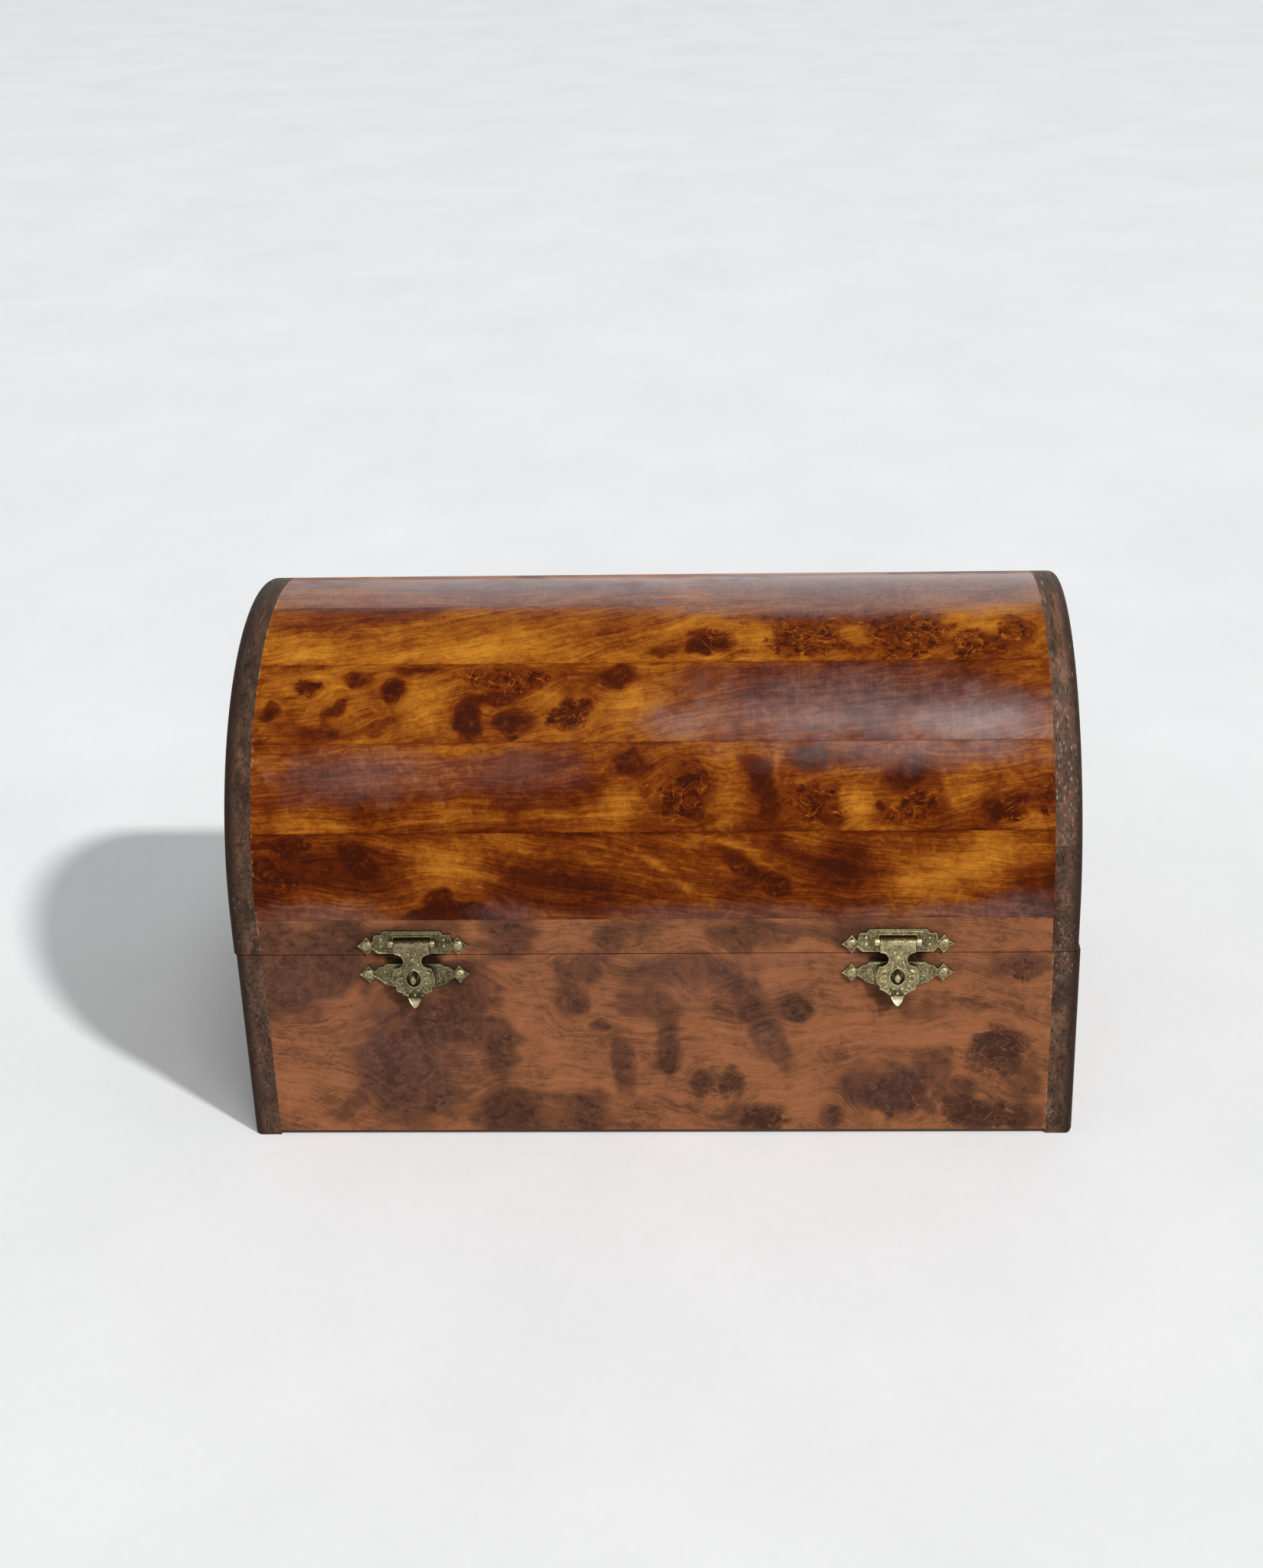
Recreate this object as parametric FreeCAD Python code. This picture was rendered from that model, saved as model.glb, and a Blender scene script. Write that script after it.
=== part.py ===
"""Barrel-topped burl box with a rear-hinged lid and two small brass hasps.

Millimetres. X runs along the box, -Y is the front, +Z is up.
The origin is the middle of the wooden footprint, on the surface the box stands on.
Left and right are named as seen from the front, so left is -X.
"""
import FreeCAD
import Part

import math
import os

# Box
box_width = 250.0
box_depth = 152.0
case_height = 62.5
lid_side_height = 11.5
joint_gap = 0.3
lid_side_shift = 0.6

# Boards and skins
cheek_thickness = 8.0
panel_thickness = 8.0
veneer_thickness = 1.0
bottom_thickness = 5.0
veneer_foot_height = 1.5
edge_radius = 2.0
left_cheek_cap_height = 21.0
right_cheek_cap_height = 54.5

# Dome
strip_count = 9
stave_thickness = 7.0

# Rear hinges
hinge_inset = 50.0
hinge_length = 30.0
hinge_setback = 2.5
lid_open_angle = 100.0
knuckle_count = 5
knuckle_radius = 1.8
knuckle_end_gap = 0.15
leaf_width = 5.5
leaf_thickness = 1.0
hinge_pin_radius = 0.8
pin_play = 0.05
barrel_clearance = 0.3

# Hinge screws
screw_spacing = 18.0
screw_radius = 0.9
screw_head_radius = 1.5
screw_length = 7.0
screw_slot_width = 0.4
screw_slot_depth = 0.35

# Hasp plate, fixed on the lid
hasp_inset = 53.5
hasp_plate_thickness = 0.8
hasp_plate_width = 22.4
hasp_plate_top_width = 16.8
hasp_plate_height = 7.4
hasp_plate_foot = 0.7
hasp_plate_step = 1.2
hasp_plate_chamfer = 0.8

# Ears with round nails, on both plates
ear_spacing = 27.0
ear_radius = 1.9
ear_point_reach = 3.1
ear_point_width = 2.0
ear_rise = 3.3
nail_radius = 0.6
nail_head_radius = 1.6
nail_head_height = 0.8
nail_end_cover = 3.0

# Hasp tongue and its pivot
pivot_rise = 4.4
pivot_stand = 1.7
tongue_knuckle_radius = 1.3
tongue_knuckle_length = 10.4
hasp_pin_radius = 0.6
post_width = 1.5
post_radius = 1.2
side_play = 0.2
slot_clearance = 0.4
tongue_thickness = 0.9
tongue_neck_width = 5.4
tongue_notch_radius = 2.3
tongue_notch_drop = 0.8
tongue_body_width = 12.4
tongue_body_top = 5.3
tongue_body_bottom = 8.4
tongue_waist_width = 10.6
tongue_waist_bottom = 10.8
tongue_waist_shoulder = 0.9
tongue_tip_width = 5.0
tongue_bend_drop = 13.0
tongue_tip_drop = 16.4
tongue_tip_angle = 28.0
window_width = 4.4
window_height = 5.6

# Keeper plate and stud, fixed on the case
stud_drop = 6.6
stud_width = 1.7
stud_height = 3.0
stud_proud = 1.0
stud_tip_radius = 0.5
keeper_thickness = 0.8
keeper_width = 20.4
keeper_top_drop = 2.7
keeper_top_width = 16.4
keeper_chamfer = 1.0
keeper_side_bottom = 8.4
keeper_point_drop = 12.4
keeper_ear_drop = 6.2

# Worked out from the values above
half_width = box_width / 2
half_depth = box_depth / 2
front_y = -half_depth
core_face = half_depth - veneer_thickness
core_inner = core_face - panel_thickness
case_top = case_height - joint_gap / 2
lid_bottom = case_height + joint_gap / 2
spring_height = case_height + lid_side_height
crown_height = spring_height + half_depth
case_middle = lid_side_shift / 2
lid_middle = -lid_side_shift / 2
inner_half_width = half_width - cheek_thickness
strip_angle = math.pi / strip_count
axis_y = half_depth - hinge_setback
pivot_y = front_y - pivot_stand
pivot_z = case_height + pivot_rise
strap_front = pivot_y - tongue_knuckle_radius
strap_back = strap_front + tongue_thickness
nail_depth = veneer_thickness + panel_thickness - nail_end_cover
spare = 1.0


def vector(x, y, z):
    return FreeCAD.Vector(x, y, z)


def block(x0, x1, y0, y1, z0, z1):
    """A box from two opposite corners."""
    return Part.makeBox(x1 - x0, y1 - y0, z1 - z0, vector(x0, y0, z0))


def rod_x(y, z, radius, x0, x1):
    """A cylinder along X."""
    return Part.makeCylinder(radius, x1 - x0, vector(x0, y, z), vector(1, 0, 0))


def prism_x(points, x0, x1):
    """A (y, z) outline carried from x0 to x1."""
    corners = [vector(x0, y, z) for y, z in points]
    face = Part.Face(Part.makePolygon(corners + corners[:1]))
    return face.extrude(vector(x1 - x0, 0, 0))


def prism_y(points, y0, y1):
    """An (x, z) outline carried from y0 to y1."""
    corners = [vector(x, y0, z) for x, z in points]
    face = Part.Face(Part.makePolygon(corners + corners[:1]))
    return face.extrude(vector(0, y1 - y0, 0))


def both_sides(half, middle):
    """Mirror the right half of an (x, z) outline about x = middle."""
    right = [(middle + x, z) for x, z in half]
    left = [(middle - x, z) for x, z in reversed(half) if x > 0]
    return right + left


def pointed_oval(x, z, width, height, y0, y1):
    """An upright oval with a point at its top and bottom, carried from y0 to y1."""
    top = vector(x, y0, z + height / 2)
    bottom = vector(x, y0, z - height / 2)
    right = Part.Arc(top, vector(x + width / 2, y0, z), bottom).toShape()
    left = Part.Arc(bottom, vector(x - width / 2, y0, z), top).toShape()
    return Part.Face(Part.Wire([right, left])).extrude(vector(0, y1 - y0, 0))


def arch_prism(x0, x1):
    """The lid's outer form: straight sides under a half-round top."""
    foot_front = vector(x0, -half_depth, lid_bottom)
    spring_front = vector(x0, -half_depth, spring_height)
    crown = vector(x0, 0, crown_height)
    spring_back = vector(x0, half_depth, spring_height)
    foot_back = vector(x0, half_depth, lid_bottom)
    edges = [
        Part.makeLine(foot_front, spring_front),
        Part.Arc(spring_front, crown, spring_back).toShape(),
        Part.makeLine(spring_back, foot_back),
        Part.makeLine(foot_back, foot_front),
    ]
    return Part.Face(Part.Wire(edges)).extrude(vector(x1 - x0, 0, 0))


def soften_end(solid, end_x, flat_z):
    """Round every edge of the end face at end_x, apart from the one at height flat_z."""
    picked = []
    for edge in solid.Edges:
        box = edge.BoundBox
        on_end = abs(box.XMin - end_x) < 1e-6 and abs(box.XMax - end_x) < 1e-6
        at_joint = abs(box.ZMin - flat_z) < 1e-6 and abs(box.ZMax - flat_z) < 1e-6
        if on_end and not at_joint:
            picked.append(edge)
    return solid.makeFillet(edge_radius, picked)


def back_chamfer(side):
    """The wedge taken off the back edge at the joint, so that the lid stops when open.

    side is -1 for the case, below the joint, and +1 for the lid, above it. Both faces
    stand half the joint gap from the hinge axis, so they meet as the closed joint does.
    """
    lean = math.radians(lid_open_angle / 2)
    offset = joint_gap / 2
    start_y = axis_y - offset * (1 - math.cos(lean)) / math.sin(lean)
    reach = hinge_setback + offset + spare
    far_y = start_y + reach
    far_z = offset + reach * math.tan(lean)
    outline = [(start_y, offset), (far_y, far_z), (far_y, 0.0), (start_y, 0.0)]
    points = [(y, case_height + side * z) for y, z in outline]
    return prism_x(points, -half_width - spare - lid_side_shift, half_width + spare + lid_side_shift)


def hinge_places():
    return {"left": hinge_inset - half_width, "right": half_width - hinge_inset}


def hasp_places():
    return {"left": hasp_inset - half_width, "right": half_width - hasp_inset}


def leaf_bounds(side):
    """Lowest and highest z of a hinge leaf: side -1 is the case's, +1 the lid's."""
    face = case_height + side * joint_gap / 2
    far = face + side * leaf_thickness
    return min(face, far), max(face, far)


def hinge_recess(side, middle):
    """The wood taken out for one leaf and for the barrel."""
    low, high = leaf_bounds(side)
    half = hinge_length / 2
    seat = block(middle - half, middle + half, axis_y - leaf_width, axis_y, low, high)
    reach = half + barrel_clearance
    barrel = rod_x(axis_y, case_height, knuckle_radius + barrel_clearance, middle - reach, middle + reach)
    return seat.fuse(barrel)


def screw_places(middle):
    free_middle = axis_y - (leaf_width + knuckle_radius) / 2
    return [(middle - screw_spacing / 2, free_middle), (middle + screw_spacing / 2, free_middle)]


def screw_blank(side, x, y):
    """A countersunk screw without its slot: the shape of the screw and of its hole."""
    face = case_height + side * joint_gap / 2
    into = vector(0, 0, side)
    head = Part.makeCone(screw_head_radius, screw_radius, leaf_thickness, vector(x, y, face), into)
    shank_start = vector(x, y, face + side * leaf_thickness)
    shank = Part.makeCylinder(screw_radius, screw_length - leaf_thickness, shank_start, into)
    return head.fuse(shank)


def hinge_screws(side):
    """The screws of both hinges on one side of the joint, as one group."""
    face = case_height + side * joint_gap / 2
    slot_far = face + side * screw_slot_depth
    solids = []
    for middle in hinge_places().values():
        for x, y in screw_places(middle):
            slot = block(
                x - screw_slot_width / 2, x + screw_slot_width / 2,
                y - screw_head_radius, y + screw_head_radius,
                min(face, slot_far), max(face, slot_far),
            )
            solids.append(screw_blank(side, x, y).cut(slot))
    return Part.makeCompound(solids)


def knuckle_spans(middle, side):
    """The x spans of the knuckles on one leaf: the case's leaf has the first and the last."""
    length = hinge_length / knuckle_count
    start = middle - hinge_length / 2
    first = 0 if side < 0 else 1
    spans = []
    for index in range(first, knuckle_count, 2):
        spans.append((start + index * length, start + (index + 1) * length))
    return spans


def hinge_leaf(side, middle):
    """One leaf with its knuckles, bored for the pin and cut clear of the other leaf."""
    low, high = leaf_bounds(side)
    half = hinge_length / 2
    leaf = block(middle - half, middle + half, axis_y - leaf_width, axis_y, low, high)
    for x0, x1 in knuckle_spans(middle, -side):
        cut_radius = knuckle_radius + barrel_clearance
        leaf = leaf.cut(rod_x(axis_y, case_height, cut_radius, x0 - knuckle_end_gap, x1 + knuckle_end_gap))
    for x0, x1 in knuckle_spans(middle, side):
        leaf = leaf.fuse(rod_x(axis_y, case_height, knuckle_radius, x0, x1))
    bore_radius = hinge_pin_radius if side < 0 else hinge_pin_radius + pin_play
    leaf = leaf.cut(rod_x(axis_y, case_height, bore_radius, middle - half - spare, middle + half + spare))
    for x, y in screw_places(middle):
        leaf = leaf.cut(screw_blank(side, x, y))
    return leaf


def hinge_pin(middle):
    half = hinge_length / 2
    return rod_x(axis_y, case_height, hinge_pin_radius, middle - half, middle + half)


def nail_places(middle, height):
    return [(middle - ear_spacing / 2, height), (middle + ear_spacing / 2, height)]


def nail_shank(x, z, thickness):
    start = vector(x, front_y - thickness, z)
    return Part.makeCylinder(nail_radius, thickness + nail_depth, start, vector(0, 1, 0))


def nail(x, z, thickness):
    """A round-headed nail through a plate of the given thickness."""
    seat_y = front_y - thickness
    ball_radius = (nail_head_radius ** 2 + nail_head_height ** 2) / (2 * nail_head_height)
    ball_y = seat_y - nail_head_height + ball_radius
    ball = Part.makeSphere(ball_radius, vector(x, ball_y, z))
    keep = block(
        x - ball_radius, x + ball_radius,
        seat_y - nail_head_height - spare, seat_y,
        z - ball_radius, z + ball_radius,
    )
    return ball.common(keep).fuse(nail_shank(x, z, thickness))


def hasp_nail_height():
    return case_height + ear_rise


def keeper_nail_height():
    return case_height - keeper_ear_drop


def nail_group(height, thickness):
    """The nails of both plates at one height, as one group."""
    solids = []
    for middle in hasp_places().values():
        for x, z in nail_places(middle, height):
            solids.append(nail(x, z, thickness))
    return Part.makeCompound(solids)


def nail_holes(solid, height, thickness):
    for middle in hasp_places().values():
        for x, z in nail_places(middle, height):
            solid = solid.cut(nail_shank(x, z, thickness))
    return solid


def ear(x, z, outward, thickness):
    """A round ear with three small points: up, down and outward."""
    y0 = front_y - thickness
    shape = Part.makeCylinder(ear_radius, thickness, vector(x, y0, z), vector(0, 1, 0))
    half = ear_point_width / 2
    for dx, dz in ((0, 1), (0, -1), (outward, 0)):
        tip = (x + dx * ear_point_reach, z + dz * ear_point_reach)
        left = (x - dz * half, z + dx * half)
        right = (x + dz * half, z - dx * half)
        shape = shape.fuse(prism_y([tip, left, right], y0, front_y))
    return shape


def pierced_plate(outline, middle, nail_z, body_width, thickness):
    """A flat plate with an ear and a nail hole at each side."""
    plate = prism_y(outline, front_y - thickness, front_y)
    for x, z in nail_places(middle, nail_z):
        outward = 1 if x > middle else -1
        shoulder = middle + outward * body_width / 2
        bridge = block(min(x, shoulder), max(x, shoulder), front_y - thickness, front_y,
                       z - ear_point_width / 2, z + ear_point_width / 2)
        plate = plate.fuse([bridge, ear(x, z, outward, thickness)])
    for x, z in nail_places(middle, nail_z):
        plate = plate.cut(nail_shank(x, z, thickness))
    return plate.removeSplitter()


def hasp_plate(middle):
    """The lid's plate: ornamental outline, a slot for the tongue's knuckle and two posts."""
    foot = case_height + hasp_plate_foot
    top = foot + hasp_plate_height
    half = hasp_plate_width / 2
    outline = both_sides([
        (0.0, top),
        (hasp_plate_top_width / 2, top),
        (hasp_plate_top_width / 2 + hasp_plate_chamfer, top - hasp_plate_step),
        (half, top - hasp_plate_step),
        (half, foot + hasp_plate_chamfer),
        (half - hasp_plate_chamfer, foot),
    ], middle)
    plate = pierced_plate(outline, middle, hasp_nail_height(), hasp_plate_width, hasp_plate_thickness)
    slot_half = tongue_knuckle_length / 2 + side_play
    slot_reach = tongue_knuckle_radius + slot_clearance
    plate = plate.cut(block(middle - slot_half, middle + slot_half,
                            front_y - hasp_plate_thickness, front_y,
                            pivot_z - slot_reach, pivot_z + slot_reach))
    for outward in (-1, 1):
        near = middle + outward * slot_half
        far = near + outward * post_width
        x0, x1 = min(near, far), max(near, far)
        post = rod_x(pivot_y, pivot_z, post_radius, x0, x1)
        foot_block = block(x0, x1, pivot_y, front_y, pivot_z - post_radius, pivot_z + post_radius)
        plate = plate.fuse([post, foot_block])
    reach = slot_half + post_width + spare
    plate = plate.cut(rod_x(pivot_y, pivot_z, hasp_pin_radius, middle - reach, middle + reach))
    return plate.removeSplitter()


def hasp_pin(middle):
    half = tongue_knuckle_length / 2 + side_play + post_width
    return rod_x(pivot_y, pivot_z, hasp_pin_radius, middle - half, middle + half)


def hasp_tongue(middle):
    """The swinging tongue: rolled knuckle, narrow neck, pierced body and bent tip."""
    half = tongue_knuckle_length / 2
    joint = case_height
    bend = joint - tongue_bend_drop
    tip = joint - tongue_tip_drop
    outline = both_sides([
        (0.0, pivot_z),
        (half, pivot_z),
        (half, joint - tongue_notch_drop),
        (tongue_body_width / 2, joint - tongue_body_top),
        (tongue_body_width / 2, joint - tongue_body_bottom),
        (tongue_waist_width / 2, joint - tongue_body_bottom - tongue_waist_shoulder),
        (tongue_waist_width / 2, joint - tongue_waist_bottom),
        (tongue_tip_width / 2, bend),
        (0.0, tip),
    ], middle)
    lean = math.tan(math.radians(tongue_tip_angle))
    low = tip - spare
    shift = (bend - low) * lean
    side_profile = [
        (strap_front, pivot_z),
        (strap_back, pivot_z),
        (strap_back, bend),
        (strap_back - shift, low),
        (strap_front - shift, low),
        (strap_front, bend),
    ]
    width = tongue_body_width / 2 + spare
    front_view = prism_y(outline, strap_front - shift - spare, strap_back + spare)
    strap = front_view.common(prism_x(side_profile, middle - width, middle + width))
    for outward in (-1, 1):
        notch_x = middle + outward * (tongue_neck_width / 2 + tongue_notch_radius)
        start = vector(notch_x, strap_front - spare, joint - tongue_notch_drop)
        length = tongue_thickness + 2 * spare
        strap = strap.cut(Part.makeCylinder(tongue_notch_radius, length, start, vector(0, 1, 0)))
    window = pointed_oval(middle, joint - stud_drop, window_width, window_height,
                          strap_front - spare, strap_back + spare)
    strap = strap.cut(window)
    tongue = strap.fuse(rod_x(pivot_y, pivot_z, tongue_knuckle_radius, middle - half, middle + half))
    bore_reach = half + spare
    bore = rod_x(pivot_y, pivot_z, hasp_pin_radius + pin_play, middle - bore_reach, middle + bore_reach)
    return tongue.cut(bore).removeSplitter()


def keeper_plate(middle):
    """The case's plate: shoulders, ears and a pointed lower edge."""
    joint = case_height
    half = keeper_width / 2
    outline = both_sides([
        (0.0, joint - keeper_top_drop),
        (keeper_top_width / 2, joint - keeper_top_drop),
        (keeper_top_width / 2 + keeper_chamfer, joint - keeper_top_drop - keeper_chamfer),
        (half, joint - keeper_top_drop - keeper_chamfer),
        (half, joint - keeper_side_bottom),
        (half - keeper_chamfer, joint - keeper_side_bottom - keeper_chamfer),
        (0.0, joint - keeper_point_drop),
    ], middle)
    plate = pierced_plate(outline, middle, keeper_nail_height(), keeper_width, keeper_thickness)
    return plate.cut(stud_blank(middle))


def stud_blank(middle):
    """The stud that the tongue's window drops over, with its root in the veneer."""
    return pointed_oval(middle, case_height - stud_drop, stud_width, stud_height,
                        strap_front - stud_proud, front_y + veneer_thickness)


def keeper_stud(middle):
    stud = stud_blank(middle)
    tip_y = strap_front - stud_proud
    rim = [edge for edge in stud.Edges if abs(edge.BoundBox.YMax - tip_y) < 1e-6]
    return stud.makeChamfer(stud_tip_radius, rim)


def bottom_board():
    """The board that closes the case and that it stands on, between the cheeks."""
    return block(case_middle - inner_half_width, case_middle + inner_half_width,
                 -core_face, core_face, 0.0, bottom_thickness)


def case_front_panel():
    panel = block(case_middle - inner_half_width, case_middle + inner_half_width,
                  -core_face, -core_inner, bottom_thickness, case_top)
    return nail_holes(panel, keeper_nail_height(), keeper_thickness)


def case_back_panel():
    panel = block(case_middle - inner_half_width, case_middle + inner_half_width,
                  core_inner, core_face, bottom_thickness, case_top)
    return back_joinery(panel, -1)


def back_joinery(solid, side):
    """The back edge's chamfer with the hinge recesses and screw holes."""
    solid = solid.cut(back_chamfer(side))
    for middle in hinge_places().values():
        solid = solid.cut(hinge_recess(side, middle))
        for x, y in screw_places(middle):
            solid = solid.cut(screw_blank(side, x, y))
    return solid


def case_front_veneer():
    veneer = block(case_middle - inner_half_width, case_middle + inner_half_width,
                   -half_depth, -core_face, veneer_foot_height, case_top)
    for middle in hasp_places().values():
        veneer = veneer.cut(stud_blank(middle))
    return nail_holes(veneer, keeper_nail_height(), keeper_thickness)


def case_back_veneer():
    veneer = block(case_middle - inner_half_width, case_middle + inner_half_width,
                   core_face, half_depth, veneer_foot_height, case_top)
    return veneer.cut(back_chamfer(-1))


def case_cheek(outward):
    """One solid end board of the case."""
    inner = case_middle + outward * inner_half_width
    outer = case_middle + outward * half_width
    board = block(min(inner, outer), max(inner, outer), -half_depth, half_depth, 0.0, case_top)
    return soften_end(board, outer, case_top).cut(back_chamfer(-1))


def lid_cheek(outward, cap_height):
    """One arched end of the lid, glued up from a lower board and a cap board."""
    inner = lid_middle + outward * inner_half_width
    outer = lid_middle + outward * half_width
    whole = arch_prism(min(inner, outer), max(inner, outer))
    whole = soften_end(whole, outer, lid_bottom).cut(back_chamfer(1))
    x0 = min(inner, outer) - spare
    x1 = max(inner, outer) + spare
    reach = half_depth + spare
    joint_height = crown_height - cap_height
    below = block(x0, x1, -reach, reach, 0.0, joint_height)
    above = block(x0, x1, -reach, reach, joint_height, crown_height + spare)
    return whole.common(below), whole.common(above)


def lid_front_rail():
    rail = block(lid_middle - inner_half_width, lid_middle + inner_half_width,
                 -core_face, -core_inner, lid_bottom, spring_height)
    return nail_holes(rail, hasp_nail_height(), hasp_plate_thickness)


def lid_back_rail():
    rail = block(lid_middle - inner_half_width, lid_middle + inner_half_width,
                 core_inner, core_face, lid_bottom, spring_height)
    return back_joinery(rail, 1)


def lid_front_veneer():
    veneer = block(lid_middle - inner_half_width, lid_middle + inner_half_width,
                   -half_depth, -core_face, lid_bottom, spring_height)
    return nail_holes(veneer, hasp_nail_height(), hasp_plate_thickness)


def lid_back_veneer():
    veneer = block(lid_middle - inner_half_width, lid_middle + inner_half_width,
                   core_face, half_depth, lid_bottom, spring_height)
    return veneer.cut(back_chamfer(1))


def on_arc(radius, angle, x):
    """A point of the dome: angle 0 is the front spring line and pi the back one."""
    return vector(x, -radius * math.cos(angle), spring_height + radius * math.sin(angle))


def dome_piece(index, outer_radius, inner_radius, round_inside):
    """One strip of the dome between two radii, with a round or a flat inside."""
    x0 = lid_middle - inner_half_width
    start = index * strip_angle
    end = start + strip_angle
    middle = (start + end) / 2
    outer_arc = Part.Arc(on_arc(outer_radius, start, x0), on_arc(outer_radius, middle, x0),
                         on_arc(outer_radius, end, x0)).toShape()
    far_side = Part.makeLine(on_arc(outer_radius, end, x0), on_arc(inner_radius, end, x0))
    if round_inside:
        inside = Part.Arc(on_arc(inner_radius, end, x0), on_arc(inner_radius, middle, x0),
                          on_arc(inner_radius, start, x0)).toShape()
    else:
        inside = Part.makeLine(on_arc(inner_radius, end, x0), on_arc(inner_radius, start, x0))
    near_side = Part.makeLine(on_arc(inner_radius, start, x0), on_arc(outer_radius, start, x0))
    face = Part.Face(Part.Wire([outer_arc, far_side, inside, near_side]))
    return face.extrude(vector(2 * inner_half_width, 0, 0))


def lid_stave(index):
    """A solid stave under the veneer, flat on the inside."""
    return dome_piece(index, core_face, core_face - stave_thickness, False)


def lid_strip_veneer(index):
    return dome_piece(index, half_depth, core_face, True)


def all_pieces():
    pieces = {
        "bottom_board": bottom_board(),
        "case_front_panel": case_front_panel(),
        "case_back_panel": case_back_panel(),
        "case_front_veneer": case_front_veneer(),
        "case_back_veneer": case_back_veneer(),
        "case_left_cheek": case_cheek(-1),
        "case_right_cheek": case_cheek(1),
        "lid_front_rail": lid_front_rail(),
        "lid_back_rail": lid_back_rail(),
        "lid_front_veneer": lid_front_veneer(),
        "lid_back_veneer": lid_back_veneer(),
        "case_hinge_screws": hinge_screws(-1),
        "lid_hinge_screws": hinge_screws(1),
        "hasp_nails": nail_group(hasp_nail_height(), hasp_plate_thickness),
        "keeper_nails": nail_group(keeper_nail_height(), keeper_thickness),
    }
    lower, upper = lid_cheek(-1, left_cheek_cap_height)
    pieces["lid_left_cheek_lower"] = lower
    pieces["lid_left_cheek_upper"] = upper
    lower, upper = lid_cheek(1, right_cheek_cap_height)
    pieces["lid_right_cheek_lower"] = lower
    pieces["lid_right_cheek_upper"] = upper
    for index in range(strip_count):
        pieces["lid_stave_%d" % (index + 1)] = lid_stave(index)
        pieces["lid_strip_veneer_%d" % (index + 1)] = lid_strip_veneer(index)
    for side, middle in hinge_places().items():
        pieces["hinge_%s_case_leaf" % side] = hinge_leaf(-1, middle)
        pieces["hinge_%s_lid_leaf" % side] = hinge_leaf(1, middle)
        pieces["hinge_%s_pin" % side] = hinge_pin(middle)
    for side, middle in hasp_places().items():
        pieces["hasp_%s_plate" % side] = hasp_plate(middle)
        pieces["hasp_%s_pin" % side] = hasp_pin(middle)
        pieces["hasp_%s_tongue" % side] = hasp_tongue(middle)
        pieces["keeper_%s_plate" % side] = keeper_plate(middle)
        pieces["keeper_%s_stud" % side] = keeper_stud(middle)
    return pieces


def main():
    os.makedirs("parts", exist_ok=True)
    for name, shape in all_pieces().items():
        shape.exportStep(os.path.join("parts", name + ".step"))
        solids = shape.Solids
        volume = sum(solid.Volume for solid in solids)
        print("%-26s solids %2d  volume %10.1f  valid %s" % (name, len(solids), volume, shape.isValid()))


main()
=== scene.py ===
import collections
import math
import random

import bmesh
import bpy
import numpy as np
from bpy.props import FloatProperty, FloatVectorProperty, IntProperty, PointerProperty
from mathutils import Matrix, Vector, noise


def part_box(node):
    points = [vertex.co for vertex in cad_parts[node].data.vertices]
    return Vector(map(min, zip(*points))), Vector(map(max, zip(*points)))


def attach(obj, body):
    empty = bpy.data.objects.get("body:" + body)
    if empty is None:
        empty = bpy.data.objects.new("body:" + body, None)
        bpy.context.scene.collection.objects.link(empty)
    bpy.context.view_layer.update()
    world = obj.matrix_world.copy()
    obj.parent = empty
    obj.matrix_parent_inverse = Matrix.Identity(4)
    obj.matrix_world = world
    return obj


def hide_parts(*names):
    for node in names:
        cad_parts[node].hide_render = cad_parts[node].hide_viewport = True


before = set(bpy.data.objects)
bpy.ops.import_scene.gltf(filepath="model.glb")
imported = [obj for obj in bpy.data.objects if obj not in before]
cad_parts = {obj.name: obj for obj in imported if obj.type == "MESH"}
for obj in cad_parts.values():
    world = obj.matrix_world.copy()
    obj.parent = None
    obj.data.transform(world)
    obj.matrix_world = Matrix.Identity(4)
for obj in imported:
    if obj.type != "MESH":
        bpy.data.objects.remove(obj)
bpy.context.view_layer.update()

bl_info = {
    "name": "Barrel-top burl box",
    "version": (1, 0, 0),
    "blender": (4, 5, 0),
    "location": "View3D > Sidebar > Burl Box",
    "description": "A keepsake box with a barrel lid, burl veneer, dark end boards and two brass hasps",
    "category": "Add Mesh",
}

MM = 0.001
STRIP_COUNT = 9
SIDES = ("left", "right")
HALVES = (-1, 1)
LID_OPEN_ANGLE = 100.0
HINGE_SETBACK = 2.5
SHADE = {"subtype": "COLOR", "min": 0.0, "max": 1.0}

Spot = collections.namedtuple("Spot", "x v long wide lean depth")
# A sheet's hazes are partly a painted sheen, and its last list is painted shade, given only round the hasps.
Sheet = collections.namedtuple("Sheet", "level lean wave spots eyes glows hazes grimes", defaults=[()])


def sheet(level, lean, wave, *layers):
    """The figure of one sheet, from rows of numbers: its spots, eyes, glows and hazes, the hazes partly a
    painted sheen.
    """
    return Sheet(level, lean, wave, *([Spot(*row) for row in rows] for rows in layers))
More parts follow.
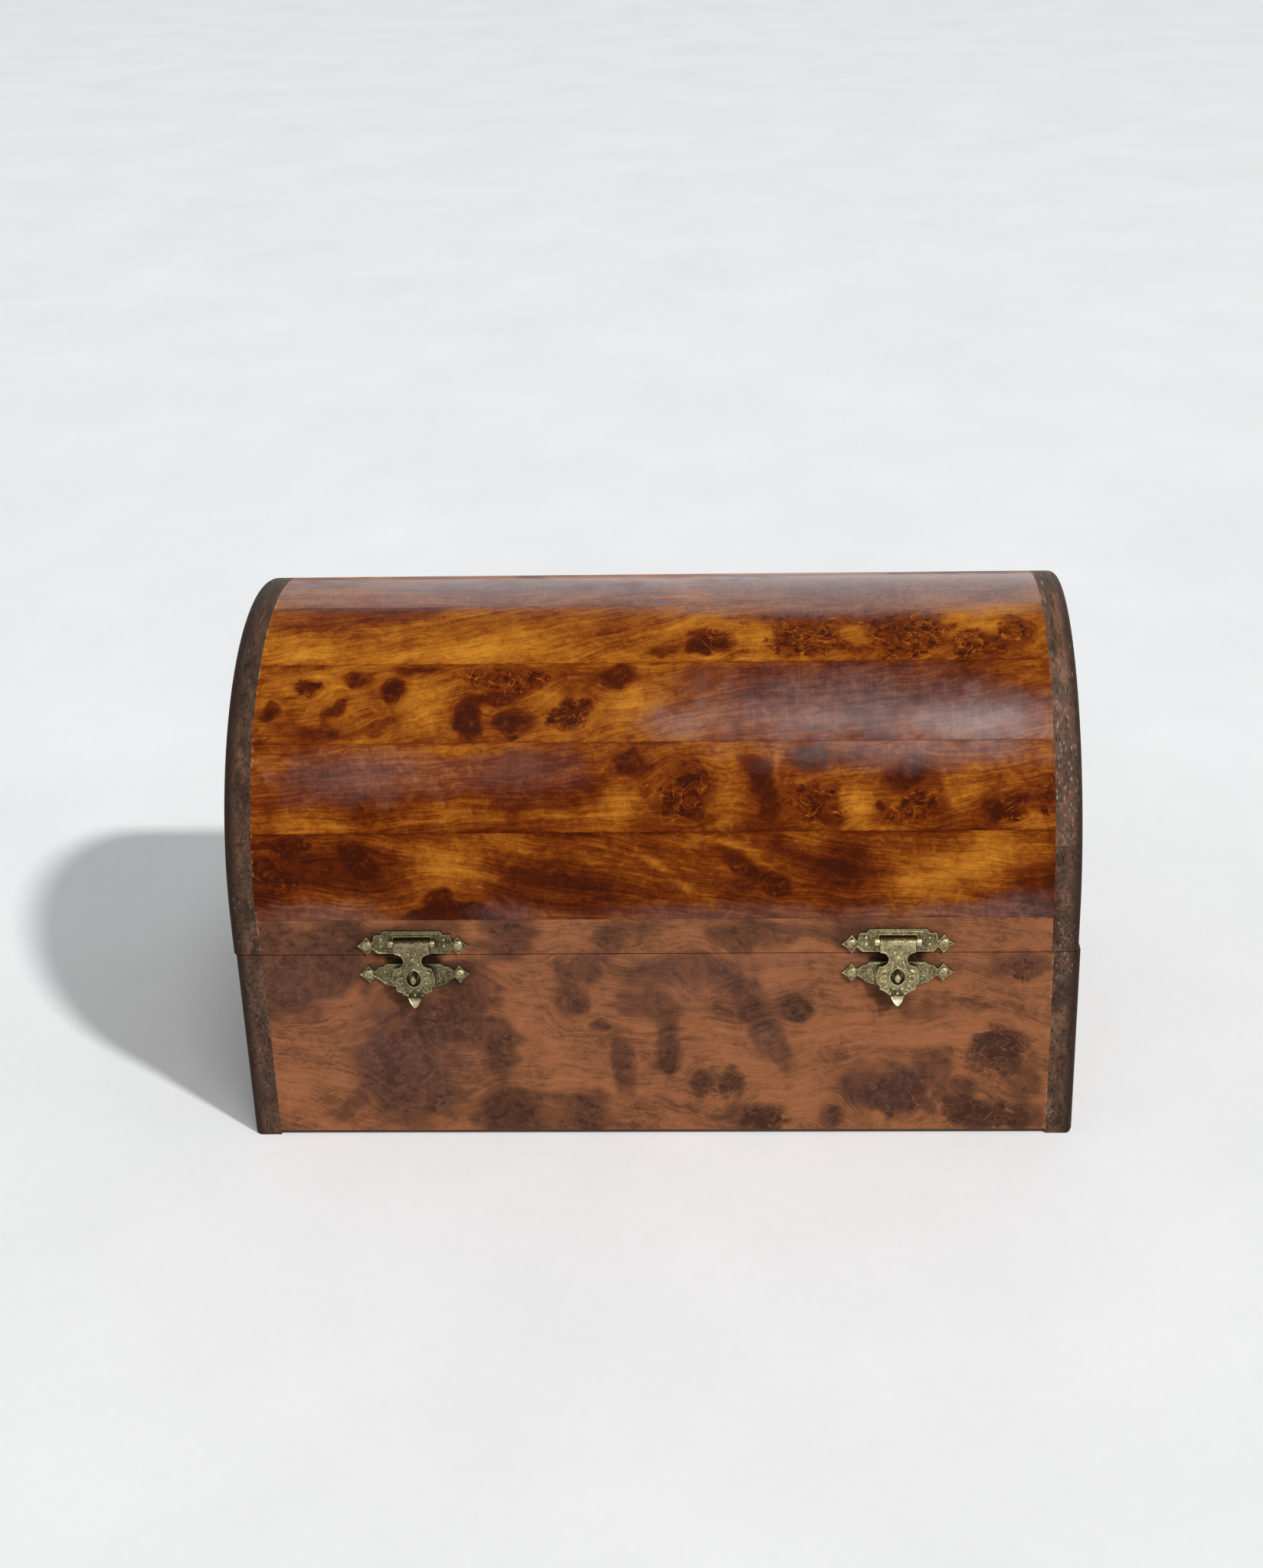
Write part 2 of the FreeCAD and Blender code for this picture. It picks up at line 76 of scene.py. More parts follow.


# The figure of each strip of the dome, front spring line first: x from the middle of the box and v up
# from the strip's lower edge, both in millimetres, then the half length, half width, lean in degrees and
# depth of each spot.
# The hazes, the last list of each strip, are partly a painted sheen of the varnish.
STRIP_FIGURES = {
    1: sheet(0.33, -6.0, 2.6, [
        (-106, 23, 6, 3.5, 0, 0.8), (-113, 16, 5, 4.5, 0, 0.9), (-108, 11, 5, 2.5, 20, 0.6),
        (-86, 18.5, 6.5, 3.0, -48, 1.0), (-62, 4, 5, 5.5, 0, 1.0), (-52, 1.5, 9, 4, -12, 0.95),
        (-70, 1, 5, 2.5, 15, 0.8), (27, 16, 9, 2.2, -24, 0.75), (35, 11, 7, 2.4, -28, 0.8),
        (22, 21, 7, 1.6, -20, 0.6), (117, 11, 3.5, 12, 0, 0.5), (-86, 18, 5.2, 2.4, -48, 1.0),
        (-84, 16, 3.2, 2.2, -48, 1.0), (-112, 16, 4, 3.2, 0, 1.0), (-105, 22.5, 4.5, 2.4, 0, 1.0),
        (36, 10.5, 5, 2.6, -28, 0.9),
    ], [], [
        (-64, 17, 15, 9, 0, 0.28), (-98, 7, 9, 5, 0, 0.16), (88, 15, 19, 10, 25, 0.42),
        (101, 20, 12, 7, 0, 0.2), (5, 14, 18, 1.5, -39, 0.30), (46, 22, 8, 3, -18, 0.14),
        (26, 22, 12, 1.3, -14, 0.24), (30, 18.5, 8, 1.0, -28, 0.26), (-22, 9, 26, 9, 0, -0.13),
        (55, 14, 13, 10, 0, -0.22), (-6, 3, 22, 3, -8, -0.06), (-98, 12, 24, 14, 0, -0.19),
        (110, 13, 9, 9, 0, -0.14),
    ], [
        (90, 1, 40, 4, 0, 0.5), (20, 1, 40, 4, 0, 0.45), (-98, 0, 24, 6, 0, 0.55),
        (106, 2, 17, 6.5, 8, 0.6), (-43, 1, 12, 5, 0, 0.4),
    ]),
    2: sheet(0.41, 4.0, 2.8, [
        (-6, 20, 6.5, 4.5, -10, 0.85), (33, 12, 4, 9, 10, 0.75), (29, 20, 4.5, 4.5, 0, 0.7),
        (46, 22, 5.5, 5.0, 0, 0.75), (75, 17, 7.5, 5.5, 25, 0.8), (101, 6, 6, 2.5, -18, 0.7),
        (-40, 20, 10, 5, 30, 0.35), (52, 3, 6, 2.5, 0, 0.5), (47.8, 6.8, 1.9, 1.7, 0, 1.0),
        (77.6, 9.3, 1.5, 1.4, 0, 1.0), (82.1, 8.5, 1.6, 1.5, 0, 1.0), (67, 7.4, 1.8, 1.5, 0, 0.8),
        (98.4, 5.5, 2.2, 3.8, 0, 1.0), (108, 9.3, 2.0, 1.6, 0, 0.7), (12, 5, 3.2, 2.2, 0, 0.85),
        (6, 9, 2.6, 2.6, 0, 0.85), (11, 15, 3.4, 2.4, 0, 0.8),
    ], [
        (10, 11.5, 6.5, 8.5, -12, 1.0), (48, 8, 7.5, 6, 0, 0.95), (77, 7, 8.5, 4.5, 15, 0.95),
        (104, 6.5, 5.5, 4.5, 0, 0.85), (116, 10, 4, 6, 0, 0.8), (-2, 13, 3, 4, 0, 0.6),
    ], [
        (-10, 7, 9, 7, 35, 0.34), (22, 8, 5, 10, 0, 0.22), (60, 7, 4.5, 9, 15, 0.26),
        (86, 12, 11, 1.8, -72, 0.24), (36, 20, 6, 1.6, 75, 0.22), (91, 12, 5, 10, 0, 0.26),
        (110, 2.5, 9, 3.5, 0, 0.34), (-70, 4, 16, 5, 0, 0.08), (-96, 15, 16, 10, 0, -0.12),
        (-48, 14, 16, 12, 0, -0.06),
    ], [(-84, 17, 30, 9, 0, 0.55), (-38, 18, 18, 8, 0, 0.35), (70, 23, 46, 6, 0, 0.6)]),
    3: sheet(0.48, 8.0, 2.6, [
        (-76, 17.5, 4.2, 3.8, 0, 0.95), (-88, 21, 6, 3.2, 0, 0.7), (-102, 19, 3.6, 3.2, 0, 0.8),
        (-93, 11.5, 5.5, 2.6, 42, 0.75), (-112.5, 10, 3.2, 3, 0, 0.85), (-54, 7, 4.5, 7.5, 0, 0.95),
        (-41, 6, 6, 4.6, 0, 0.9), (-47, 14, 9, 2.4, 8, 0.75), (-10, 21.5, 5.5, 4.6, 0, 0.85),
        (-70, 24.5, 9, 2, 0, 0.7), (-98, 3, 12, 2.5, 0, 0.5), (-80, 5, 9, 3, 20, 0.45),
        (-24, 9, 8.5, 6, 30, 0.55), (15, 22, 10, 4, 0, 0.35),
    ], [(-42, 20.5, 13, 5, 0, 0.9), (-24, 9, 7.5, 5.5, 30, 0.9), (-101, 18, 6, 4.5, 0, 0.55)], [
        (-67, 12, 7, 9, 0, 0.24), (-110, 20, 8, 5, 0, 0.12), (-6, 13, 10, 7, 35, 0.26),
        (-32, 15, 5, 5, 40, 0.2), (60, 14, 56, 14, 0, -0.34), (6, 22, 8, 5, 0, 0.1),
    ], [(52, 12, 50, 15, 0, 0.62), (96, 7, 26, 11, 0, 0.80), (8, 6, 12, 8, 0, 0.4)]),
    4: sheet(0.54, 13.0, 3.0, [
        (15, 7, 7, 4.5, 15, 0.7), (2, 4, 6, 2.2, 12, 0.5), (59, 5, 6, 4, 0, 0.55), (40, 20, 14, 4, 0, 0.4),
        (74, 21, 10, 4, 0, 0.35),
    ], [
        (17, 8, 8, 6, 0, 0.95), (45, 8.5, 11, 8.5, 0, 1.0), (76, 10, 12, 9, 0, 1.0),
        (96, 6, 9, 6.5, 0, 0.95), (108, 12, 6, 7, 0, 0.7), (60, 19, 34, 5, 0, 0.6),
    ], [
        (-58, 8, 40, 9, 8, 0.22), (-108, 6, 12, 7, 0, 0.16), (30, 6, 5, 8, 0, 0.2), (60, 6, 4, 6, 0, 0.2),
        (103, 15, 10, 6, 0, 0.24), (20, 1.5, 34, 2, 0, 0.15), (-80, 26, 50, 2.5, 0, -0.12),
        (-10, 20, 26, 6, 0, -0.08), (-70, 14, 50, 10, 0, -0.04),
    ], [(-64, 26, 60, 1.6, 0, 0.30), (54, 24.5, 62, 6.5, 0, 0.65)]),
    # On the crown the glow towards the right is partly a painted sheen, like the hazes.
    5: sheet(0.44, 3.0, 2.0, [
        (-44, 15, 52, 7, 0, 0.6), (24, 20, 9, 5, 0, 0.5), (60, 11, 16, 6, 0, 0.5), (92, 16, 12, 6, 0, 0.45),
    ], [(60, 13, 46, 12, 0, 0.75), (102, 10, 12, 9, 0, 0.6)], [
        (-100, 10, 14, 9, 0, 0.12), (12, 9, 12, 7, 0, 0.22), (36, 8, 10, 6, 0, 0.16),
        (80, 12, 40, 12, 0, 0.28),
    ], [(-60, 8, 90, 30, 0, 0.66), (70, 8, 80, 30, 0, 0.9)]),
}

# One sheet runs up the whole front, case and lid, so the figure crosses the cut: here v is the height.
FRONT_FIGURE = sheet(0.63, -3.0, 3.6, [
    (-112, 56, 16, 15, -40, 0.85), (-96, 58, 13, 8, 0, 0.75), (-78, 27, 14, 14, 20, 0.92),
    (-74, 13, 15, 9, 0, 0.85), (-56, 51, 10, 13, 0, 0.85), (-62, 38, 11, 8, 0, 0.7),
    (-47, 31, 6, 10, 0, 0.85), (-46, 9, 11, 8, 0, 0.9), (-25, 8, 11, 8, 0, 0.88),
    (-93, 12, 3, 12, -35, 0.6), (-36, 3, 20, 4, 0, 0.7), (-66, 40, 24, 7, -12, 0.6),
    (-25, 47, 5.2, 7.0, 10, 1.0), (-23, 57, 8, 6, 0, 0.7), (-17.5, 38, 2.8, 2.2, 30, 0.95),
    (0, 45, 11, 6.5, -20, 0.7), (3, 34, 3.4, 9, 0, 0.8), (3, 26.5, 4.2, 4.6, 0, 1.0),
    (-10.5, 24, 3.4, 12, 6, 0.8), (26, 50, 10, 4.4, -52, 0.75), (33, 34, 12, 4.8, -60, 0.92),
    (41, 44, 5.6, 4.8, -20, 0.9), (12.5, 18, 4, 5, 0, 0.8), (22, 18, 4.5, 5, 0, 0.75),
    (31, 6, 9, 5.5, 0, 0.9), (52, 6, 3.6, 5, 0, 0.85), (68, 17, 14, 10, 12, 0.85), (84, 24, 7, 6, 0, 0.7),
    (107, 58, 12, 5, 0, 0.75), (94, 7, 8, 6, 0, 0.8), (103, 31, 8, 8, 20, 0.8), (110, 20, 6, 8, 0, 0.75),
    (90, 15, 8, 6, 0, 0.75), (111, 6, 7, 5, 0, 0.8), (77, 43, 9, 5, -12, 0.6), (12, 57, 24, 6, 0, 0.5),
    (-92, 69, 11, 8, 0, 0.85), (-43, 68.5, 9, 8, 0, 0.9), (28, 68, 13, 6, 0, 0.85),
    (-72, 70, 12, 5, 0, 0.5), (-8, 70, 9, 3.4, 10, 0.6), (66, 71, 24, 3.5, 0, 0.5),
    (-112, 70, 8, 5, 0, 0.55), (-13, 66, 5, 8, -30, 0.5),
], [
    (-75, 24, 9, 10, 0, 0.4), (72, 14, 12, 9, 0, 0.85), (102, 28, 12, 10, 0, 0.85), (97, 7, 14, 7, 0, 0.85),
    (-42, 8, 7, 5, 0, 0.4), (33, 5, 8, 5, 0, 0.7), (3.5, 26, 4, 4, 0, 0.5), (108, 57, 9, 5, 0, 0.5),
    (18, 18, 10, 6, 0, 0.6),
], [
    (-108, 24, 12, 15, 0, 0.12), (-37, 40, 9, 20, 0, 0.12), (-36, 58, 9, 6, 0, 0.10),
    (75, 35, 38, 7, 0, 0.16), (-12, 10, 7, 12, 0, 0.14), (15, 34, 9, 7, 0, 0.12), (40, 18, 14, 6, 0, 0.12),
    (70, 7, 12, 2.5, 0, 0.14), (-100, 30, 12, 5, 0, 0.1), (113, 8, 4, 12, 0, 0.14),
    (50, 56, 16, 5, 0, 0.08), (-10, 70, 110, 6, 0, -0.09), (-86, 30, 34, 30, 0, -0.06),
    (84, 40, 40, 26, 0, 0.07),
], [
    (8, 52, 34, 10, 0, 0.35), (-74, 28, 26, 20, 0, 0.45), (-106, 54, 18, 12, 0, 0.35),
    (70, 17, 16, 12, 0, 0.3), (30, 60, 90, 3, 0, 0.25), (34, 36, 8, 12, 0, 0.35),
])

# Painted shade round a hasp, from its middle and the joint: darker round its plates, darkest in the recesses
# beside the neck, and the tongue's painted shadow down to its lower left.
HASP_PAINTED_SHADE = (
    (0.0, 4.4, 18.5, 5.6, 0, 0.45), (0.0, -6.2, 17.5, 5.4, 0, 0.45), (-4.4, -1.0, 4.8, 2.8, 0, 1.0),
    (4.4, -1.0, 4.6, 2.8, 0, 0.96), (-9.0, -0.6, 5.0, 1.4, 0, 0.6), (-3.6, -13.0, 6.4, 4.2, -35, 0.55),
)


def corners(node):
    """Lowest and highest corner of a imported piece, in millimetres."""
    low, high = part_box(node)
    return Vector(low) / MM, Vector(high) / MM


class Layout:
    """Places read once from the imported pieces, in millimetres."""

    case_low, case_high = corners("case_front_veneer")
    lid_low, lid_high = corners("lid_front_veneer")
    back_y = corners("case_back_veneer")[1].y
    front_y = case_low.y
    radius = back_y
    spring = corners("lid_strip_veneer_5")[1].z - radius
    joint = (case_high.z + lid_low.z) / 2
    half_gap = (lid_low.z - case_high.z) / 2
    veneer = case_high.y - case_low.y
    strip_angle = math.pi / STRIP_COUNT
    strip_width = radius * strip_angle
    axis_y = back_y - HINGE_SETBACK


def hasp_middle(side):
    """The x of a hasp's middle, in millimetres."""
    low, high = corners("hasp_%s_plate" % side)
    return (low.x + high.x) / 2


class BoxSizes(bpy.types.PropertyGroup):
    """Sizes of the finish that may be changed."""

    sheet_grid: FloatProperty(
        name="Veneer grid", description="Spacing of the veneer mesh that carries the figure",
        default=0.9 * MM, min=0.4 * MM, unit="LENGTH")
    eased_edge: FloatProperty(
        name="Eased strip edge", description="Width of the sanded edge between two strips",
        default=0.07 * MM, min=0.0, unit="LENGTH")
    board_round: FloatProperty(
        name="Board rounding", description="Radius on the outer edges of the end boards",
        default=2.0 * MM, min=0.2 * MM, unit="LENGTH")
    brass_rim: FloatProperty(
        name="Brass rim", description="Width of the raised rim round each brass plate",
        default=0.34 * MM, min=0.1 * MM, unit="LENGTH")
    brass_relief: FloatProperty(
        name="Brass relief", description="Depth of the stamped field inside the rim",
        default=0.16 * MM, min=0.0, unit="LENGTH")
    arc_steps: IntProperty(
        name="Arch steps", description="Flats used round the arch of an end board",
        default=96, min=24)


class BoxColours(bpy.types.PropertyGroup):
    """Colours of the woods and the brass, as linear values."""

    golden: FloatVectorProperty(
        name="Golden burl", description="Brightest lines of the dome's burl",
        default=(0.53, 0.200, 0.018), **SHADE)
    amber: FloatVectorProperty(
        name="Amber burl", description="Main colour of the dome's burl",
        default=(0.30, 0.088, 0.007), **SHADE)
    red_brown: FloatVectorProperty(
        name="Red-brown burl", description="Middle tone of the dome's burl",
        default=(0.158, 0.031, 0.002), **SHADE)
    dark_red: FloatVectorProperty(
        name="Dark red burl", description="Rims of the knots on the dome",
        default=(0.084, 0.012, 0.001), **SHADE)
    deep: FloatVectorProperty(
        name="Deep burl", description="Darkest spots of the dome's burl",
        default=(0.040, 0.006, 0.001), **SHADE)
    front_light: FloatVectorProperty(
        name="Front light", description="Light tone of the matt front veneer",
        default=(0.262, 0.098, 0.042), **SHADE)
    front_dark: FloatVectorProperty(
        name="Front dark", description="Dark tone of the matt front veneer",
        default=(0.082, 0.033, 0.019), **SHADE)
    # Haze: partly the purple-brown cloud of the varnish, partly a painted sheen that stands in for its pale
    # reflection
    haze: FloatVectorProperty(
        name="Haze", description="Purple-brown cloud in the veneer",
        default=(0.148, 0.066, 0.051), **SHADE)
    board: FloatVectorProperty(
        name="End boards", description="Dark wood of the end boards",
        default=(0.076, 0.038, 0.023), **SHADE)
    core: FloatVectorProperty(
        name="Core wood", description="Plain wood inside the box",
        default=(0.30, 0.15, 0.070), **SHADE)
    bottom: FloatVectorProperty(
        name="Bottom board", description="Stained board under the box",
        default=(0.075, 0.045, 0.030), **SHADE)
    brass: FloatVectorProperty(
        name="Antique brass", description="Raised parts of the brass",
        default=(0.34, 0.29, 0.155), **SHADE)
    brass_dark: FloatVectorProperty(
        name="Brass patina", description="Hollows of the brass",
        default=(0.075, 0.058, 0.026), **SHADE)
    floor: FloatVectorProperty(
        name="Floor", description="Pale plaster under the box",
        default=(0.872, 0.876, 0.878), **SHADE)


class BoxStage(bpy.types.PropertyGroup):
    """Camera and light."""

    lens: FloatProperty(
        name="Lens", description="Focal length on a 36 mm long side", default=52.55, min=20.0, unit="CAMERA")
    key_strength: FloatProperty(
        name="Key light", description="Strength of the sun from the front right", default=2.22, min=0.0)
    key_spread: FloatProperty(
        name="Key spread", description="Apparent width of the key light",
        default=math.radians(4.0), min=0.0, subtype="ANGLE")
    box_power: FloatProperty(
        name="Soft box", description="Power of the soft box above the camera",
        default=52.0, min=0.0, unit="POWER")
    box_size: FloatProperty(
        name="Soft box size", description="Side of the soft box", default=1.5, min=0.05, unit="LENGTH")
    sky_strength: FloatProperty(
        name="Fill light", description="Strength of the pale room round the box", default=0.325, min=0.0)


def sizes():
    return bpy.context.scene.burl_box_sizes


def colours():
    return bpy.context.scene.burl_box_colours


def stage_values():
    return bpy.context.scene.burl_box_stage


def rgba(colour, factor=1.0):
    return tuple(channel * factor for channel in colour) + (1.0,)


# Materials

class Graph:
    """Adds and links the nodes of one material, or of the world."""

    def __init__(self, owner, shader="Principled BSDF"):
        self.owner = owner
        owner.use_nodes = True
        self.tree = owner.node_tree
        self.shader = self.tree.nodes[shader]

    def node(self, kind, inputs=None, **settings):
        made = self.tree.nodes.new(kind)
        for key, value in settings.items():
            setattr(made, key, value)
        for key, value in (inputs or {}).items():
            self.feed(made.inputs[key], value)
        return made

    def feed(self, socket, value):
        if isinstance(value, bpy.types.NodeSocket):
            self.tree.links.new(value, socket)
        else:
            socket.default_value = value

    def surface(self, **inputs):
        """Link or set the shader's own sockets, with _ for each space in a socket's name."""
        for name, value in inputs.items():
            self.feed(self.shader.inputs[name.replace("_", " ")], value)

    def math(self, operation, first, second=0.0, clamp=False):
        made = self.node("ShaderNodeMath", operation=operation, use_clamp=clamp)
        self.feed(made.inputs[0], first)
        self.feed(made.inputs[1], second)
        return made.outputs[0]

    def plus(self, first, second, clamp=False):
        return self.math("ADD", first, second, clamp)

    def minus(self, first, second, clamp=False):
        return self.math("SUBTRACT", first, second, clamp)

    def times(self, first, second, clamp=False):
        return self.math("MULTIPLY", first, second, clamp)

    def larger(self, first, second):
        return self.math("MAXIMUM", first, second)

    def vector(self, operation, first, second):
        made = self.node("ShaderNodeVectorMath", operation=operation)
        self.feed(made.inputs[0], first)
        self.feed(made.inputs[1], second)
        return made.outputs[0]

    def stretch(self, vector, scale):
        return self.vector("MULTIPLY", vector, scale)

    def shift(self, vector, step):
        return self.vector("ADD", vector, step)

    def noise(self, vector, detail, roughness, distortion=0.0, output=0):
        made = self.node("ShaderNodeTexNoise", {
            "Vector": vector, "Scale": 1.0, "Detail": detail, "Roughness": roughness,
            "Distortion": distortion})
        return made.outputs[output]

    def noises(self, spaces, table):
        """Every noise of a table: the space it is read in, its scale, detail, roughness and distortion."""
        return {name: self.noise(self.stretch(spaces[space], scale), *look)
                for name, (space, scale, *look) in table.items()}

    def swung(self, base, noises, swings, contrast=1.0):
        """Base plus each named noise, swung about zero by its amount."""
        for name, amount in swings.items():
            base = self.plus(base, self.times(self.minus(noises[name], 0.5), amount * contrast))
        return base

    def cells(self, vector):
        return self.node("ShaderNodeTexVoronoi", {"Vector": vector, "Scale": 1.0}, feature="F1").outputs

    def ease(self, value, low, high, out_low=0.0, out_high=1.0):
        made = self.node("ShaderNodeMapRange", {
            "Value": value, "From Min": low, "From Max": high, "To Min": out_low, "To Max": out_high},
            interpolation_type="SMOOTHSTEP")
        return made.outputs[0]

    def fade(self, value, low, high):
        """1 below low and 0 above high."""
        return self.ease(value, low, high, 1.0, 0.0)

    def ramp(self, value, stops):
        made = self.node("ShaderNodeValToRGB", {"Fac": value})
        elements = made.color_ramp.elements
        while len(elements) < len(stops):
            elements.new(0.5)
        for element, (place, colour) in zip(elements, stops):
            element.position = place
            element.color = colour
        return made.outputs["Color"]

    def live(self, sockets, name):
        """The socket of that name that the node's kind of data uses."""
        return next(socket for socket in sockets if socket.name == name and socket.enabled)

    def mixed(self, kind, factor, first, second):
        made = self.node("ShaderNodeMix", data_type=kind)
        self.feed(self.live(made.inputs, "Factor"), factor)
        self.feed(self.live(made.inputs, "A"), first)
        self.feed(self.live(made.inputs, "B"), second)
        return self.live(made.outputs, "Result")

    def mix(self, factor, first, second):
        return self.mixed("RGBA", factor, first, second)

    def blend(self, factor, first, second):
        return self.mixed("FLOAT", factor, first, second)

    def attribute(self, name, output="Vector"):
        return self.node("ShaderNodeAttribute", attribute_name=name).outputs[output]

    def channels(self, colour):
        return self.node("ShaderNodeSeparateColor", {"Color": colour}).outputs[:3]

    def place(self):
        return self.node("ShaderNodeTexCoord").outputs["Object"]

    def millimetres(self):
        return self.stretch(self.place(), (1000.0, 1000.0, 1000.0))

    def bump(self, height, strength, distance, under=None):
        made = self.node("ShaderNodeBump", {"Height": height, "Strength": strength, "Distance": distance})
        if under is not None:
            self.feed(made.inputs["Normal"], under)
        return made.outputs["Normal"]


def new_finish(name):
    return Graph(bpy.data.materials.new(name))


# Where a noise, which stays near its middle, turns a finish from one roughness to the other
NOISE_SPAN = (0.3, 0.7)

# The burl's noises, read along and across the grain or over the flat sheet, per millimetre
BURL_NOISES = {
    "line": ("grain", (0.045, 0.95, 1.0), 3.0, 0.60),
    "hair": ("grain", (0.13, 2.6, 1.0), 2.0, 0.60),
    "band": ("grain", (0.020, 0.26, 1.0), 3.0, 0.55, 0.3),
    "cloud": ("grain", (0.050, 0.080, 1.0), 3.0, 0.5),
    "mottle": ("sheet", (0.30, 0.36, 1.0), 4.0, 0.60, 0.8),
    "crumb": ("sheet", (0.95, 1.10, 1.0), 3.0, 0.62, 0.4),
    "polish": ("sheet", (1.6, 0.07, 1.0), 2.0, 0.55),
    "curl": ("sheet", (0.115, 0.140, 1.0), 2.2, 0.60, 1.3),
}

# How far each noise swings the tone of the grain, and the edge or the inside of what lies over it
GRAIN_SWINGS = {"line": 0.40, "hair": 0.46, "band": 0.52, "cloud": 0.80, "mottle": 0.60, "crumb": 0.25}
HALO_SWINGS = {"mottle": 0.9}
KNOT_EDGE_SWINGS = {"mottle": 1.5, "crumb": 0.8, "line": 0.7}
KNOT_SWINGS = {"crumb": 0.7, "line": 0.7, "mottle": 0.9, "cloud": 0.5}
EYE_EDGE_SWINGS = {"mottle": 1.4, "crumb": 0.6}
EYE_SWINGS = {"crumb": 0.6, "mottle": 1.2}
HAZE_SWINGS = {"cloud": 1.6, "mottle": 1.2, "line": 0.6}
STREAK_SWINGS = {"polish": 0.7, "line": 0.8, "mottle": 0.9}
# Mottled edge of the painted shade round the hasps
PAINTED_SHADE_SWINGS = {"mottle": 1.4, "crumb": 0.8}

CURL_WIDTH = 0.026
CURL_PATCH_SCALE = (0.20, 0.20, 1.0)
CURL_PATCH_STEP = (5.0, 9.0, 3.0)
CURL_PATCH_EDGE = (0.32, 0.50)
EYE_SCALE = (0.30, 0.36, 1.0)
EYE_BEND_SCALE = (0.40, 0.40, 1.0)
EYE_BEND = (1.6, 1.6, 0.0)
EYE_LARGEST = 0.26
EYE_EDGE = (0.02, 0.26)

RAGGED_FROM = (0.03, 0.30)
HALO_EDGE = (0.05, 0.75)
HALO_DEPTH = 0.17
KNOT_CURL_STRENGTH = 0.35
KNOT_CURL_TONE = 0.55
CLUSTER_EDGE = (0.22, 0.75)
CLUSTER_TONE = 0.24
CLUSTER_DEPTH = 0.88
CLUSTER_EYE_DEPTH = 0.20
CLUSTER_CURL_STRENGTH = 0.85
CLUSTER_CURL_TONE = 0.74
CLUSTER_KNOT_DEPTH = 0.24
STRAY_EYE_DEPTH = 0.16
SEAM_EDGE = (0.8, 2.2)
SEAM_CLOUD = 2.4
SEAM_DEPTH = 0.12

# The haze and its pale streaks are partly a painted sheen of the varnish
HAZE_LEVEL = 0.80
HAZE_DEPTH = 0.85
HAZE_DARK = 0.55
HAZE_SHEEN_PALE = 1.45
STREAK_EDGE = (0.22, 0.78)
GLUE_COLOUR = (0.42, 0.25, 0.13, 1.0)
GLUE_REACH = (0.10, 0.32)
GLUE_PATCHES = (0.50, 0.62)
GLUE_DEPTH = 0.45
# Near-black painted shade round the hasps, and how strongly it is laid on
PAINTED_SHADE_COLOUR = (0.020, 0.010, 0.005, 1.0)
PAINTED_SHADE_LEVEL = 0.95
VENEER_BUMP = 0.05 * MM
POLISH_BUMP = 0.25
HAIR_BUMP = 0.30
LEAST_VARNISH = 0.02
VARNISH_ROUGHNESS = 0.27
VENEER_SPECULAR = 0.03

# How matt a burl is, the contrast of its grain and the strength of its varnish, then where the knots
# start and are full, how deep they go and the tone inside them
BurlLook = collections.namedtuple(
    "BurlLook", "matt contrast varnish knot_start knot_full knot_depth knot_tone")
DOME_LOOK = BurlLook(0.40, 1.0, 1.0, 0.24, 0.82, 0.93, 0.07)
SIDE_LOOK = BurlLook(0.56, 1.40, 0.06, 0.08, 1.08, 0.80, 0.17)


def burl_curls(g, sheet_place, curl):
    """Thin pale curls, where a warped noise crosses its middle value."""
    line = g.fade(g.math("ABSOLUTE", g.minus(curl, 0.5)), 0.0, CURL_WIDTH)
    patches = g.noise(g.shift(g.stretch(sheet_place, CURL_PATCH_SCALE), CURL_PATCH_STEP), 2.0, 0.5)
    return g.times(line, g.ease(patches, *CURL_PATCH_EDGE))


def burl_eyes(g, sheet_place, noises):
    """Small round eyes, some large and some hardly there."""
    bend = g.noise(g.stretch(sheet_place, EYE_BEND_SCALE), 2.0, 0.6, output="Color")
    cell = g.cells(g.shift(g.stretch(sheet_place, EYE_SCALE), g.stretch(bend, EYE_BEND)))
    size = g.times(g.channels(cell["Color"])[0], EYE_LARGEST)
    away = g.minus(g.swung(cell["Distance"], noises, {"crumb": 0.5}), size)
    return g.fade(away, *EYE_EDGE)


def over_knots(g, tone, dark, noises, curls, look):
    """Darken the tone in and round the knots. Gives the tone, the knots and their halo."""
    halo = g.ease(g.swung(dark, noises, HALO_SWINGS), *HALO_EDGE)
    tone = g.minus(tone, g.times(halo, HALO_DEPTH))
    ragged = g.times(g.swung(0.0, noises, KNOT_EDGE_SWINGS), g.ease(dark, *RAGGED_FROM))
    knot = g.ease(g.plus(dark, ragged), look.knot_start, look.knot_full)
    inside = g.swung(look.knot_tone, noises, KNOT_SWINGS)
    inside = g.blend(g.times(curls, KNOT_CURL_STRENGTH), inside, KNOT_CURL_TONE)
    return g.blend(g.times(knot, look.knot_depth), tone, inside), knot, halo


def over_clusters(g, tone, clusters, noises, curls, dots, knot, halo):
    """Lay the eye clusters with their pale curls over the tone, and stray eyes round the knots."""
    near = g.ease(clusters, *RAGGED_FROM)
    ragged = g.times(g.swung(0.0, noises, EYE_EDGE_SWINGS), near)
    patch = g.ease(g.plus(clusters, ragged), *CLUSTER_EDGE)
    inside = g.minus(g.swung(CLUSTER_TONE, noises, EYE_SWINGS), g.times(dots, CLUSTER_EYE_DEPTH))
    inside = g.blend(g.times(curls, CLUSTER_CURL_STRENGTH), inside, CLUSTER_CURL_TONE)
    inside = g.minus(inside, g.times(knot, CLUSTER_KNOT_DEPTH))
    tone = g.blend(g.times(patch, CLUSTER_DEPTH), tone, inside)
    return g.minus(tone, g.times(g.times(dots, g.larger(halo, near)), STRAY_EYE_DEPTH))


